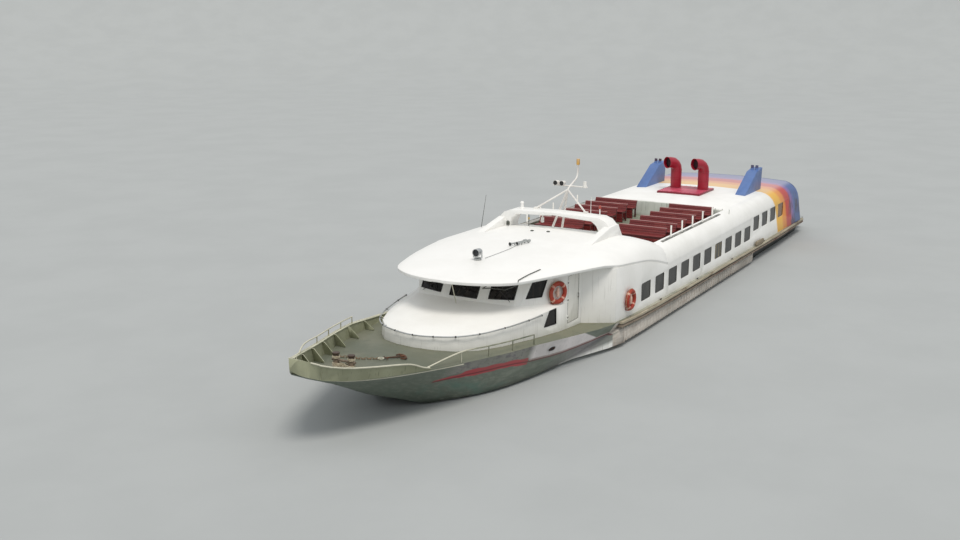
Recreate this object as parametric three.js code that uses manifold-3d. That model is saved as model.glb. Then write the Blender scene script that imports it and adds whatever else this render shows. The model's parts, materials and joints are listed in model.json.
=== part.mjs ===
// Passenger ferry: a planing hull, a long glazed cabin with an open bench deck on top, and a low
// wheelhouse under a wide visor roof. Millimetres, +X to the bow, +Y to port, +Z up. The origin is
// amidships on the centreline, at the waterline.
import * as THREE from 'three';
import { mergeVertices } from 'three/addons/utils/BufferGeometryUtils.js';
import Module from 'manifold-3d';

const wasm = await Module();
wasm.setup();

// Driving sizes
const GAP = 0.3;                     // left between two pieces that rest on each other
const WALL = 80;                     // thickness of the cabin walls and roofs
const HOUSE_WALL = 70;               // thickness of the wheelhouse walls
const BOW_X = 17600;
const TRANSOM_X = -16350;
const CABIN_Y = 3300;                // outer face of the cabin side
const CABIN_FRONT_X = 6150;
const CABIN_TOP_X = -14750;          // aft end of the cabin at its roof
const CABIN_LEAN = 0.5;              // the aft end leans aft by this much for each unit down
const SHOULDER_Y = 2750;             // where the side's shoulder meets the roof
const CABIN_Z = 2600;                // top of the side's shoulder
const ROOF_CROWN_Z = 2700;
const WELL_AFT_X = -5700;
const UPPER_DECK_Z = 2100;
const UPPER_DECK_THICK = 80;
const WINDOW = { first: 3700, pitch: 1220, wide: 800, high: 590, low: 1410, raised: 1670, corner: 60 };
const LOW_WINDOWS = 10;
const WINDOWS = 14;
const HOUSE_AFT_X = 6800;
const HOUSE_SIDE_Y = 2440;
const DOOR = { aft: 7020, wide: 780, sill: 1150, head: 2620, thick: 45, clear: 6 };
const HINGE = { radius: 10, out: 12, knuckle: 45, leaf: 60 };
const ARCH_X = 3620;
const ARCH_DEEP = 660;
const ARCH_TOP = 3730;
const SHAFT_Y = 1200;
const SHAFT_SLOPE = 0.14;            // the propeller shaft rises this much for each unit forward
const PROP_X = -14450;
const PROP_Z = -1020;
const PROP_R = 400;
const HUB_SEAT = 60;                 // from the propeller's middle forward to the end of its shaft
const RUDDER_X = -15350;
const RUDDER_TOP = -500;             // lower face of the rudder boss under the hull

const PAINT = {
  white: { color: 0xf1f0ec, roughness: 0.45, metalness: 0 },
  hull: { color: 0x6b7468, roughness: 0.6, metalness: 0 },
  deck: { color: 0x7a7e6c, roughness: 0.8, metalness: 0 },
  bulwark: { color: 0x9a9c84, roughness: 0.7, metalness: 0 },
  rubber: { color: 0xb3a994, roughness: 0.8, metalness: 0 },
  grey: { color: 0xa6a9a8, roughness: 0.6, metalness: 0 },
  crimson: { color: 0x8e1b2c, roughness: 0.45, metalness: 0 },
  bench: { color: 0x7a2b2c, roughness: 0.55, metalness: 0 },
  blue: { color: 0x5b7fb5, roughness: 0.5, metalness: 0 },
  orange: { color: 0xc2533a, roughness: 0.6, metalness: 0 },
  dark: { color: 0x2b2a2c, roughness: 0.7, metalness: 0 },
  steel: { color: 0xb9bcbc, roughness: 0.35, metalness: 1 },
  bronze: { color: 0xa9824a, roughness: 0.35, metalness: 1 },
};

// Solids
function solid(positions, faces) {
  const geometry = new THREE.BufferGeometry();
  geometry.setAttribute('position', new THREE.Float32BufferAttribute(positions, 3));
  geometry.setIndex(faces);
  return fromGeometry(geometry);
}

function fromGeometry(source) {
  const bare = source.clone();
  bare.deleteAttribute('normal');
  bare.deleteAttribute('uv');
  const merged = mergeVertices(bare, 1e-3);
  const index = merged.index.array;
  const place = merged.attributes.position;
  const corner = (k) => new THREE.Vector3().fromBufferAttribute(place, k);
  const triangles = [];
  let volume = 0;
  for (let i = 0; i < index.length; i += 3) {
    const [a, b, c] = [index[i], index[i + 1], index[i + 2]];
    if (a === b || b === c || c === a) continue;
    triangles.push(a, b, c);
    volume += corner(a).dot(corner(b).cross(corner(c)));
  }
  if (volume < 0) triangles.reverse();
  return new wasm.Manifold(new wasm.Mesh({
    numProp: 3,
    vertProperties: new Float32Array(place.array),
    triVerts: new Uint32Array(triangles),
  }));
}

function toGeometry(manifold) {
  const { vertProperties, triVerts } = manifold.getMesh();
  const geometry = new THREE.BufferGeometry();
  geometry.setAttribute('position', new THREE.BufferAttribute(vertProperties, 3));
  geometry.setIndex(new THREE.BufferAttribute(triVerts, 1));
  geometry.computeVertexNormals();
  return geometry;
}

const join = (first, ...rest) => rest.reduce((sum, piece) => sum.add(piece), first);
const cut = (first, ...rest) => rest.reduce((left, piece) => left.subtract(piece), first);
const mirrored = (piece) => piece.mirror([0, 1, 0]);
const bothSides = (piece) => join(piece, mirrored(piece));
const raised = (piece) => piece.translate([0, 0, GAP]);

// A box by its lowest and highest corners
function box([x0, y0, z0], [x1, y1, z1]) {
  const geometry = new THREE.BoxGeometry(x1 - x0, y1 - y0, z1 - z0);
  return fromGeometry(geometry.translate((x0 + x1) / 2, (y0 + y1) / 2, (z0 + z1) / 2));
}

// A round bar between two points, its radius at each end
function bar(from, to, radius, endRadius = radius, sides = 10) {
  const start = new THREE.Vector3(...from);
  const along = new THREE.Vector3(...to).sub(start);
  const geometry = new THREE.CylinderGeometry(endRadius, radius, along.length(), sides);
  geometry.translate(0, along.length() / 2, 0);
  geometry.applyQuaternion(new THREE.Quaternion().setFromUnitVectors(
    new THREE.Vector3(0, 1, 0), along.clone().normalize()));
  return fromGeometry(geometry.translate(start.x, start.y, start.z));
}

// A pipe along a smooth curve through points
function pipe(points, radius, steps, sides = 8) {
  const turn = (k) => k / sides * Math.PI * 2;
  const section = new THREE.Shape(Array.from({ length: sides }, (_, k) => (
    new THREE.Vector2(radius * Math.cos(turn(k)), radius * Math.sin(turn(k))))));
  const extrudePath = new THREE.CatmullRomCurve3(points.map((point) => new THREE.Vector3(...point)));
  return fromGeometry(new THREE.ExtrudeGeometry(section, { steps, extrudePath, bevelEnabled: false }));
}

// An outline in two axes, drawn out along the third: 'x' takes [y, z], 'y' takes [x, z], 'z' takes [x, y]
function slab(outline, axis, from, to) {
  const shape = new THREE.Shape(outline.map(([u, v]) => new THREE.Vector2(u, v)));
  const geometry = new THREE.ExtrudeGeometry(shape, { depth: to - from, bevelEnabled: false });
  geometry.translate(0, 0, from);
  const place = geometry.attributes.position;
  for (let i = 0; i < place.count && axis !== 'z'; i++) {
    const [u, v, w] = [place.getX(i), place.getY(i), place.getZ(i)];
    place.setXYZ(i, ...(axis === 'x' ? [w, u, v] : [u, w, v]));
  }
  return fromGeometry(geometry);
}

// A solid through rings of points, with as many points in each, closed at both ends
function loft(rings, ends = 'yz') {
  const count = rings[0].length;
  const faces = [];
  for (let s = 0; s + 1 < rings.length; s++) {
    for (let i = 0; i < count; i++) {
      const a = s * count + i;
      const b = s * count + (i + 1) % count;
      faces.push(a, b, b + count, a, b + count, a + count);
    }
  }
  const flat = (ring) => ring.map(([x, y, z]) => (
    ends === 'yz' ? new THREE.Vector2(y, z) : new THREE.Vector2(x, y)));
  for (const s of [0, rings.length - 1]) {
    const outline = flat(rings[s]);
    const caps = THREE.ShapeUtils.triangulateShape(outline, []);
    const capArea = caps.reduce((sum, tri) => sum + THREE.ShapeUtils.area(tri.map((k) => outline[k])), 0);
    const kept = capArea * THREE.ShapeUtils.area(outline) * (s === 0 ? -1 : 1) > 0;
    for (const [a, b, c] of caps) {
      const k = s * count;
      faces.push(k + a, ...(kept ? [k + b, k + c] : [k + c, k + b]));
    }
  }
  return solid(rings.flat(2), faces);
}

// A smooth value along x from rows [x, value], never past its neighbours
function smooth(rows) {
  const [xs, ys] = [rows.map((row) => row[0]), rows.map((row) => row[1])];
  const steps = xs.slice(1).map((x, i) => (ys[i + 1] - ys[i]) / (x - xs[i]));
  const slopes = xs.map((x, i) => {
    if (i === 0) return steps[0];
    if (i === xs.length - 1) return steps[i - 1];
    return steps[i - 1] * steps[i] <= 0 ? 0 : 2 * steps[i - 1] * steps[i] / (steps[i - 1] + steps[i]);
  });
  return (x) => {
    const last = xs.length - 2;
    const i = Math.min(last, Math.max(0, xs.findIndex((edge) => x < edge) === -1 ? last
      : xs.findIndex((edge) => x < edge) - 1));
    const span = xs[i + 1] - xs[i];
    const t = Math.min(1, Math.max(0, (x - xs[i]) / span));
    const [t2, t3] = [t * t, t * t * t];
    return ys[i] * (2 * t3 - 3 * t2 + 1) + ys[i + 1] * (3 * t2 - 2 * t3)
      + span * (slopes[i] * (t3 - 2 * t2 + t) + slopes[i + 1] * (t3 - t2));
  };
}

const columns = (rows) => rows[0].slice(1).map((_, c) => smooth(rows.map((row) => [row[0], row[c + 1]])));
const spread = (from, to, count) => (
  Array.from({ length: count + 1 }, (_, i) => from + (to - from) * i / count));

// Hull lines: x, keel or stem height, chine half breadth and height, deck edge half breadth and height
const HULL_LINES = [
  [-16350, -550, 2850, -120, 3240, 660],
  [-12000, -820, 2950, -120, 3360, 690],
  [-6000, -980, 2980, -100, 3400, 730],
  [0, -1060, 2980, -60, 3410, 780],
  [4000, -1080, 2920, 0, 3410, 840],
  [6500, -1060, 2800, 60, 3340, 930],
  [8700, -980, 2540, 105, 3010, 1070],
  [10200, -820, 2310, 95, 2660, 1150],
  [11370, -570, 2000, 80, 2410, 1200],
  [12350, -290, 1520, 70, 2180, 1265],
  [13150, -20, 930, 40, 1960, 1310],
  [13800, 230, 650, 290, 1760, 1350],
  [14600, 560, 430, 620, 1480, 1400],
  [16100, 1290, 170, 1350, 920, 1545],
  [17000, 1670, 80, 1720, 480, 1705],
  [17600, 1950, 20, 1962, 45, 1975],
];
const [keelZ, chineY, chineZ, deckY, deckZ] = columns(HULL_LINES);

function hullRing(x) {
  const topside = [0, 0.33, 0.67, 1].map((t) => {
    const hollow = Math.sin(Math.PI * t) * 0.05 * (deckY(x) - chineY(x));
    return [x, chineY(x) + (deckY(x) - chineY(x)) * t - hollow, chineZ(x) + (deckZ(x) - chineZ(x)) * t];
  });
  const bottom = [x, chineY(x) * 0.5, keelZ(x) + (chineZ(x) - keelZ(x)) * 0.42];
  const half = [bottom, ...topside];
  return [[x, 0, keelZ(x)], ...half, ...half.toReversed().map(([px, py, pz]) => [px, -py, pz])];
}

const HULL_STATIONS = [...spread(TRANSOM_X, 6500, 14), 7300, 8000, 8700, 9450, 10200, 10800, 11370, 11850,
  12350, 12750, 13150, 13475, 13800, 14200, 14600, 15100, 15600, 16100, 16550, 17000, 17300, BOW_X];

// The space under the deck, with the deck's own slope, for cutting what stands on it
const underDeck = loft(HULL_STATIONS.map((x) => {
  const z = deckZ(x) + GAP;
  return [[x, -4000, z], [x, 4000, z], [x, 4000, -3000], [x, -4000, -3000]];
}));

const ENGINE = { x0: -10700, x1: -8100, y0: 550, y1: 1550, z0: -280, z1: 620, room: 200 };
const STRAKE = { aft: -8030, front: 5700, inset: 30, low: 130 };
// The strake's nose, drawn in to nothing toward the bow: x, half breadth, top
const NOSE_LINES = [[STRAKE.front - 100, 3370, 650], [6450, 3190, 500], [7300, 2930, 340], [8350, 2600, 160]];

function hull() {
  const body = loft(HULL_STATIONS.map(hullRing));
  const keel = loft(spread(-11000, 9500, 10).map((x) => {
    const low = keelZ(x) + 40 - 200 * Math.min(1, (9500 - x) / 2000);
    return [[x, -60, keelZ(x) + 120], [x, 60, keelZ(x) + 120], [x, 45, low], [x, -45, low]];
  }));
  const strakeY = (x) => deckY(x) - STRAKE.inset;
  const strake = loft(spread(STRAKE.aft, STRAKE.front, 8).map((x) => (
    [[x, 2500, STRAKE.low], [x, strakeY(x) - 30, STRAKE.low], [x, strakeY(x), STRAKE.low + 40],
      [x, strakeY(x), deckZ(x) - 240], [x, 2500, deckZ(x) - 200]])));
  const nose = loft(NOSE_LINES.map(([x, y, top]) => (
    [[x, y - 500, STRAKE.low], [x, y - 25, STRAKE.low], [x, y, STRAKE.low + 10], [x, y, top],
      [x, y - 500, top + 20]])));
  const boss = bar([RUDDER_X, SHAFT_Y, RUDDER_TOP], [RUDDER_X, SHAFT_Y, -300], 80, 80, 14);
  const { x0, x1, y1, z0, room } = ENGINE;
  const pocket = box([x0 - room, -y1 - room, z0 - GAP], [x1 + room, y1 + room, 900]);
  return cut(join(body, keel, bothSides(strake), bothSides(nose), bothSides(boss)), pocket);
}

const engine = () => box([ENGINE.x0, ENGINE.y0, ENGINE.z0], [ENGINE.x1, ENGINE.y1, ENGINE.z1]);

// Rub rail: a double strake along the deck edge
function rubRail(hullSides) {
  const section = [[-150, -10], [70, -20], [70, -90], [30, -105], [30, -125], [60, -140], [60, -200],
    [-150, -215]];
  const rail = loft(spread(TRANSOM_X + 20, 5900, 16).map((x) => (
    section.map(([dy, dz]) => [x, deckY(x) + dy, deckZ(x) + dz]))));
  return cut(rail, hullSides.translate([0, GAP, 0]), hullSides.translate([0, GAP, GAP]));
}

// Bulwark heights: x, port, starboard
const BULWARK_LINES = [
  [9500, 0, 80], [11000, 0, 200], [12400, 0, 300], [14150, 30, 320], [14900, 250, 330], [15700, 290, 345],
  [16600, 320, 360], [17500, 380, 380]];
const [bulwarkPort, bulwarkStbd] = columns(BULWARK_LINES);
const BULWARK_THICK = 50;
const BULWARK_END_X = 17300;
const CAP = { lip: 20, thick: 30 };
// The rounded head of the stem: x, share of the breadth where the bulwark ends, its foot above the deck
// edge and its top below the line of the cap
const STEM_HEAD = [
  [17100, 1, 0, 0], [BULWARK_END_X, 1, 0, 0], [17420, 0.68, 0, 0], [17520, 0.44, 10, 15],
  [17600, 0.25, 40, 80], [17660, 0.07, 110, 190]];
const lean = (x, height) => height * 0.25 * Math.min(1, (17700 - x) / 1100);
const BRACKETS = {
  port: [15300, 16100, 16800],
  stbd: [10400, 11500, 12600, 13600, 14500, 15300, 16100, 16800],
};

function bulwarkSide(from, height) {
  const rings = spread(from, BULWARK_END_X, 14).map((x) => {
    const [y, z, top] = [deckY(x), deckZ(x) + GAP, deckZ(x) + height(x)];
    const inner = Math.max(2, y - BULWARK_THICK);
    const out = lean(x, height(x));
    const capY = Math.max(1, inner + out - CAP.lip);
    return [[x, inner, z], [x, Math.max(2, inner + out), top],
      [x, capY, top], [x, capY, top + CAP.thick], [x, y + out + CAP.lip, top + CAP.thick],
      [x, y + out + CAP.lip, top], [x, y + out, top], [x, y, z]];
  });
  return loft(rings);
}

function bracket(x, height) {
  const [y, z] = [deckY(x) - 20, deckZ(x) + GAP + 12];
  const top = height(x);
  const out = lean(x, top);
  return slab([[y, z], [y + out, z + top], [y + out - 110, z + top], [y - 340, z + 40], [y - 340, z]], 'x',
    x - 12, x + 12);
}

function bulwark() {
  const port = join(bulwarkSide(14150, bulwarkPort), ...BRACKETS.port.map((x) => bracket(x, bulwarkPort)));
  const stbd = join(bulwarkSide(9500, bulwarkStbd), ...BRACKETS.stbd.map((x) => bracket(x, bulwarkStbd)));
  const stem = loft(STEM_HEAD.map(([x, share, rise, fall]) => {
    const [from, level] = [Math.min(x, BULWARK_END_X), Math.min(x, 17500)];
    const foot = deckZ(Math.min(x, BOW_X)) + 2 * GAP + rise;
    const top = deckZ(level) + bulwarkPort(level) + CAP.thick - fall;
    const low = deckY(from) * share;
    const high = (deckY(from) + lean(from, bulwarkPort(from)) + CAP.lip) * share;
    return [[x, -low, foot], [x, low, foot], [x, high, top], [x, -high, top]];
  }));
  return cut(join(port, mirrored(stbd), stem), underDeck);
}

// Bitts on the foredeck
const BITTS = { x: 15600, reach: 240, high: 420, radius: 75 };

function bitts() {
  const floor = deckZ(BITTS.x - 300) + 60;
  const post = (y) => join(
    bar([BITTS.x, y, floor], [BITTS.x, y, floor + BITTS.high], BITTS.radius, BITTS.radius, 16),
    bar([BITTS.x, y, floor + BITTS.high - 40], [BITTS.x, y, floor + BITTS.high], BITTS.radius + 20,
      BITTS.radius + 20, 16));
  const tip = (y) => [BITTS.x, y, floor + 230];
  const cross = bar(tip(-BITTS.reach - 120), tip(BITTS.reach + 120), 35);
  const base = box([BITTS.x - 200, -BITTS.reach - 150, deckZ(BITTS.x - 200) - 50],
    [BITTS.x + 200, BITTS.reach + 150, floor + 20]);
  return cut(join(base, post(-BITTS.reach), post(BITTS.reach), cross), underDeck);
}

// Pipe rail above the starboard bulwark at the bow
function bowRail(bulwarkSolid) {
  const above = (x, high) => (
    [x, deckY(x) + lean(x, bulwarkStbd(x)) - 10, deckZ(x) + bulwarkStbd(x) + CAP.thick + high]);
  const top = [15600, 14800, 13900, 13000, 12200].map((x) => above(x, 190));
  const foot = ([x, y, z]) => bar([x, y, z - 205], [x, y, z], 17, 17, 8);
  return cut(mirrored(join(pipe([above(16150, 5), above(15900, 140), ...top], 21, 24),
    ...top.slice(1).map(foot))), raised(bulwarkSolid));
}

// Foot rail along the port deck edge, with a ramp down at its forward end
function footRail() {
  const y = (x) => deckY(x) - 90;
  const top = [13050, 12050, 11100, 10200].map((x) => [x, y(x), deckZ(x) + 290]);
  const ramp = [14250, y(14250), deckZ(14250) + 22];
  const posts = top.map(([x, py, z]) => bar([x, py, deckZ(x) - 20], [x, py, z], 16, 16, 8));
  return cut(join(pipe([ramp, ...top], 20, 18), ...posts), underDeck);
}

const STERN = { x1: TRANSOM_X - GAP, x0: -17600, y: 3050, z0: 430, z1: 560 };

function sternPlatform() {
  const outline = [[STERN.x1, -STERN.y], [STERN.x1, STERN.y], [STERN.x0 + 300, STERN.y],
    [STERN.x0, STERN.y - 350], [STERN.x0, -STERN.y + 350], [STERN.x0 + 300, -STERN.y]];
  const plate = slab(outline, 'z', STERN.z0, STERN.z1);
  const knee = (y) => slab([[STERN.x1, STERN.z0 + 10], [STERN.x0 + 350, STERN.z0 + 10],
    [STERN.x0 + 350, STERN.z0 - 60], [STERN.x1, 60]], 'y', y - 20, y + 20);
  const bollard = (y) => join(
    bar([STERN.x0 + 420, y, STERN.z1 - 10], [STERN.x0 + 420, y, STERN.z1 + 330], 60, 60, 14),
    bar([STERN.x0 + 420, y, STERN.z1 + 290], [STERN.x0 + 420, y, STERN.z1 + 330], 80, 80, 14));
  return join(plate, ...[-2400, -800, 800, 2400].map(knee), bollard(2620), bollard(-2620));
}

// Wheelhouse roof with its visor: x, half width, crown height, edge height
const ROOF_AFT_X = 1760;
const ROOF_LINES = [
  [ROOF_AFT_X, 3305, 2680, 1960], [2600, 3308, 2960, 2200], [3600, 3310, 3150, 2420],
  [4800, 3310, 3180, 2570],
  [6000, 3300, 3170, 2700], [6700, 3120, 3150, 2800], [8000, 2800, 3110, 2850], [9500, 2330, 3050, 2880],
  [10100, 2100, 3020, 2885], [10400, 1900, 3005, 2890], [10700, 1560, 2985, 2900], [10950, 1150, 2965, 2910],
  [11150, 650, 2950, 2925], [11250, 200, 2945, 2935]];
const [roofY, roofCrown, roofEdge] = columns(ROOF_LINES);
// Across the roof: share of the half width, share of the fall over the cabin and at the visor
const ROOF_SHAPE = [[0, 0, 0], [0.4, 0.01, 0.05], [0.7, 0.05, 0.2], [0.832, 0.11, 0.4], [0.886, 0.21, 0.52],
  [0.932, 0.36, 0.66], [0.968, 0.58, 0.82], [0.991, 0.89, 0.95], [1, 1, 1]];
const VISOR_X = 6700;                // forward of this the roof has the visor's flat shape
const ROOF_EDGE_TUCK = 0.01;         // the underside is this share narrower at the edge

function roofLine(x, lower, tuck = 0) {
  const flat = Math.min(1, Math.max(0, (x - ROOF_AFT_X) / (VISOR_X - ROOF_AFT_X)));
  return ROOF_SHAPE.map(([side, cabin, visor]) => {
    const fall = cabin + (visor - cabin) * flat;
    const z = roofCrown(x) - (roofCrown(x) - roofEdge(x)) * fall - lower;
    return [x, roofY(x) * side * (1 - tuck * fall), z];
  });
}

const mirrorLine = (line) => line.slice(1).toReversed().map(([x, y, z]) => [x, -y, z]);

const ROOF_STATIONS = [...spread(ROOF_AFT_X, 5400, 7), 6000, 6350, 6700, 7300, 8000, 8750, 9500, 9800,
  10100, 10400, 10600, 10800, 10950, 11060, 11150, 11215, 11250];

function wheelhouseRoof() {
  return loft(ROOF_STATIONS.map((x) => {
    const top = roofLine(x, 0);
    const under = roofLine(x, WALL, ROOF_EDGE_TUCK);
    return [...mirrorLine(top), ...top, ...under.toReversed(), ...mirrorLine(under).toReversed()];
  }));
}

// All that lies above the underside of the wheelhouse roof
const aboveUnderside = bothSides(loft([ROOF_AFT_X - 60, ...ROOF_STATIONS.slice(0, -1)].map((x) => {
  const under = roofLine(x, WALL + GAP, ROOF_EDGE_TUCK);
  const [, outY, outZ] = under.at(-1);
  const side = [[x, outY + 500, outZ - 1], [x, outY + 500, 6000]];
  return [...mirrorLine(under), ...under, ...side, ...side.toReversed().map(([px, py, pz]) => [px, -py, pz])];
})));

// All that lies below the top of the wheelhouse roof
const belowRoofTop = bothSides(loft(ROOF_STATIONS.slice(0, -1).map((x) => {
  const top = roofLine(x, -GAP);
  const outY = roofY(x) + 500;
  const side = [[x, outY, top.at(-1)[2] - 5], [x, outY, 1000]];
  return [...mirrorLine(top), ...top, ...side, ...side.toReversed().map(([px, py, pz]) => [px, -py, pz])];
})));

// Wheelhouse, port half, from the aft corner round to the centreline: its foot, the rim of the sloping
// front, the foot of the windscreen and the line that the roof cuts off
const HOUSE_LEVELS = [
  [[6800, 2440, 900], [7870, 2440, 900], [8350, 2430, 900], [9700, 2230, 900], [10900, 1940, 900],
    [11700, 1620, 900], [12200, 1180, 900], [12430, 620, 900], [12500, 0, 900]],
  [[6800, 2440, 1830], [7870, 2440, 1830], [8350, 2425, 1825], [9700, 2225, 1750], [10850, 1930, 1690],
    [11650, 1600, 1660], [12130, 1160, 1640], [12350, 610, 1625], [12420, 0, 1620]],
  [[6800, 2440, 1880], [7870, 2440, 1880], [8350, 2242, 1885], [8900, 2016, 1940], [9530, 1756, 2010],
    [9690, 1620, 2020], [9790, 900, 2035], [9870, 450, 2045], [9900, 0, 2050]],
  [[6800, 2440, 3150], [7870, 2440, 3150], [8200, 2304, 3150], [8550, 2160, 3150], [8900, 2016, 3150],
    [9030, 1620, 3150], [9130, 900, 3150], [9210, 450, 3150], [9240, 0, 3150]],
];

// The wheelhouse drawn in by the inset, or its inner space, open aft and below
function houseSolid(inset) {
  const drop = [200, inset * 0.8, inset * 0.8, -50];
  return loft(HOUSE_LEVELS.map((level, n) => {
    const half = level.map(([x, y, z], i) => {
      const along = i / (level.length - 1);
      const inner = [x - inset * Math.min(1, along * 1.6), y && y - inset * (1 - along * 0.55), z];
      return inset > 0 ? [i === 0 ? 6400 : inner[0], inner[1], z - drop[n]] : inner;
    });
    return [...half, ...half.slice(0, -1).toReversed().map(([x, y, z]) => [x, -y, z])];
  }), 'xy');
}

// Wheelhouse windows: corners seen along the window's own direction
function prism(corners, direction, reach) {
  const push = (s) => corners.map(([x, y, z]) => (
    [x + direction[0] * s, y + direction[1] * s, z + direction[2] * s]));
  return loftBetween(push(-reach), push(reach));
}

function loftBetween(first, second) {
  const count = first.length;
  const faces = [];
  for (let i = 0; i < count; i++) {
    const j = (i + 1) % count;
    faces.push(i, j, j + count, i, j + count, i + count);
  }
  for (let i = 1; i + 1 < count; i++) faces.push(0, i + 1, i, count, count + i, count + i + 1);
  return solid([...first, ...second].flat(), faces);
}

const HOUSE_WINDOWS = [
  { corners: [[9850, -470, 2146], [9850, 470, 2146], [9470, 470, 2790], [9470, -470, 2790]],
    toward: [0.86, 0, 0.51] },
  { corners: [[9745, 815, 2155], [9605, 1590, 2190], [9240, 1600, 2790], [9360, 820, 2790]],
    toward: [0.84, 0.15, 0.51] },
  { corners: [[9334, 1837, 2188], [8777, 2066, 2157], [8530, 2168, 2800], [9020, 1966, 2800]],
    toward: [0.38, 0.92, 0] },
];

// The fixed or the moving half of a side door hinge, its middle at height z
function sideHinge(z, moving) {
  const [x, y, half] = [DOOR.aft + DOOR.wide + DOOR.clear, HOUSE_SIDE_Y + HINGE.out, HINGE.knuckle / 2];
  const spans = moving ? [[-half + GAP, half - GAP]] : [[-3 * half, -half - GAP], [half + GAP, 3 * half]];
  const [x0, x1] = moving ? [x - HINGE.leaf, x - 4] : [x + 4, x + HINGE.leaf];
  return join(...spans.flatMap(([low, high]) => [
    bar([x, y, z + low], [x, y, z + high], HINGE.radius, HINGE.radius, 8),
    box([x0, HOUSE_SIDE_Y - 12, z + low], [x1, HOUSE_SIDE_Y + 7, z + high])]));
}

const SIDE_HINGES = [DOOR.sill + 200, (DOOR.sill + DOOR.head) / 2, DOOR.head - 200];

function wheelhouse() {
  const shell = cut(houseSolid(0), houseSolid(HOUSE_WALL));
  const glass = HOUSE_WINDOWS.map(({ corners, toward }) => prism(corners, toward, 260));
  const sideLight = slab([[8505, 1790], [8495, 1325], [9095, 1345], [8825, 1775]], 'y', 2150, 2700);
  const doorway = box([DOOR.aft - DOOR.clear, 2250, DOOR.sill - DOOR.clear],
    [DOOR.aft + DOOR.wide + DOOR.clear, 2600, DOOR.head + DOOR.clear]);
  const openings = [...glass, sideLight, doorway];
  const walls = cut(shell, ...openings, ...openings.map(mirrored), underDeck, aboveUnderside);
  return join(walls, ...SIDE_HINGES.map((z) => bothSides(sideHinge(z, false))));
}

// A hinged side door with its handle
function sideDoor() {
  const y1 = HOUSE_SIDE_Y - 5;
  const panel = box([DOOR.aft, y1 - DOOR.thick, DOOR.sill], [DOOR.aft + DOOR.wide, y1, DOOR.head]);
  const [x0, x1] = [DOOR.aft + 70, DOOR.aft + 90];
  const handle = join(...[1830, 1950].map((z) => box([x0, y1 - 5, z], [x1, y1 + 45, z + 16])),
    box([x0, y1 + 30, 1830], [x1, y1 + 45, 1966]));
  return join(panel, handle, ...SIDE_HINGES.map((z) => sideHinge(z, true)));
}

// The bulkhead that closes the step from the wheelhouse side out to the full cabin width
function frontBulkhead() {
  const outline = [[HOUSE_AFT_X + 55, HOUSE_SIDE_Y + GAP], [CABIN_FRONT_X + 40, CABIN_Y],
    [CABIN_FRONT_X + GAP, CABIN_Y], [CABIN_FRONT_X + GAP, CABIN_Y - 90],
    [HOUSE_AFT_X - 10, HOUSE_SIDE_Y - 60], [HOUSE_AFT_X - GAP, HOUSE_SIDE_Y - 60],
    [HOUSE_AFT_X - GAP, HOUSE_SIDE_Y + GAP]];
  return cut(slab(outline, 'z', 700, 3300), underDeck, aboveUnderside);
}

// Cabin side: outer line from the deck up over the shoulder, as [y, z]
const SIDE_LINE = [[CABIN_Y, 500], [CABIN_Y, 1780], [3275, 2040], [3200, 2260], [3080, 2420], [2930, 2530],
  [SHOULDER_Y + GAP, CABIN_Z]];

function insetLine(line, inset) {
  return line.map(([y, z], i) => {
    const [before, after] = [line[Math.max(0, i - 1)], line[Math.min(line.length - 1, i + 1)]];
    const [dy, dz] = [after[0] - before[0], after[1] - before[1]];
    const size = Math.hypot(dy, dz);
    const top = i === line.length - 1;
    return top ? [y, z - inset * 1.05] : [y - inset * dz / size, z + inset * dy / size];
  });
}

const SIDE_INNER = insetLine(SIDE_LINE, WALL);

function innerSideY(z) {
  const i = SIDE_INNER.findIndex((point, k) => k > 0 && point[1] >= z);
  const [[y0, z0], [y1, z1]] = [SIDE_INNER[i - 1], SIDE_INNER[i]];
  return y0 + (y1 - y0) * (z - z0) / (z1 - z0);
}

function roundedRect(x, z, wide, high, corner) {
  const shape = [];
  const turns = [[1, 1], [-1, 1], [-1, -1], [1, -1]];
  turns.forEach(([sx, sz], quarter) => {
    for (let k = 0; k <= 2; k++) {
      const angle = (quarter + k / 2) * Math.PI / 2;
      shape.push([x + sx * (wide / 2 - corner) + corner * Math.cos(angle),
        z + sz * (high / 2 - corner) + corner * Math.sin(angle)]);
    }
  });
  return shape;
}

const windowX = (i) => WINDOW.first - i * WINDOW.pitch;
const windowZ = (i) => (i < LOW_WINDOWS ? WINDOW.low : WINDOW.raised);

// What lies aft of the leaning end wall
function aftOfEnd(shift) {
  const top = 3200;
  const endX = (z) => CABIN_TOP_X - shift - (ROOF_CROWN_Z - z) * CABIN_LEAN;
  return slab([[endX(top), top], [endX(0), 0], [-20000, 0], [-20000, top]], 'y', -4000, 4000);
}

function cabinSide() {
  const section = [...SIDE_LINE, ...SIDE_INNER.toReversed()];
  const long = slab(section, 'x', -17000, ROOF_AFT_X - GAP);
  const tall = slab([[CABIN_Y, 500], [CABIN_Y, 3300], [CABIN_Y - WALL, 3300], [CABIN_Y - WALL, 500]], 'x',
    ROOF_AFT_X - GAP - 1, CABIN_FRONT_X);
  const lights = Array.from({ length: WINDOWS }, (_, i) => slab(
    roundedRect(windowX(i), windowZ(i), WINDOW.wide, WINDOW.high, WINDOW.corner), 'y', 2900, 3600));
  return cut(join(long, cut(tall, aboveUnderside)), ...lights, underDeck, aftOfEnd(-WALL));
}

// The aft roof's top line across the boat, as [y, z]
const CROWN = [[-SHOULDER_Y, CABIN_Z], [-1700, 2665], [-600, ROOF_CROWN_Z], [600, ROOF_CROWN_Z], [1700, 2665],
  [SHOULDER_Y, CABIN_Z]];

// All that lies below the aft roof's top, to cut the feet of what stands on it
const belowCrown = slab([...CROWN.map(([y, z]) => [y, z + GAP]), [SHOULDER_Y, 2000], [-SHOULDER_Y, 2000]],
  'x', -12500, WELL_AFT_X);

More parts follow.
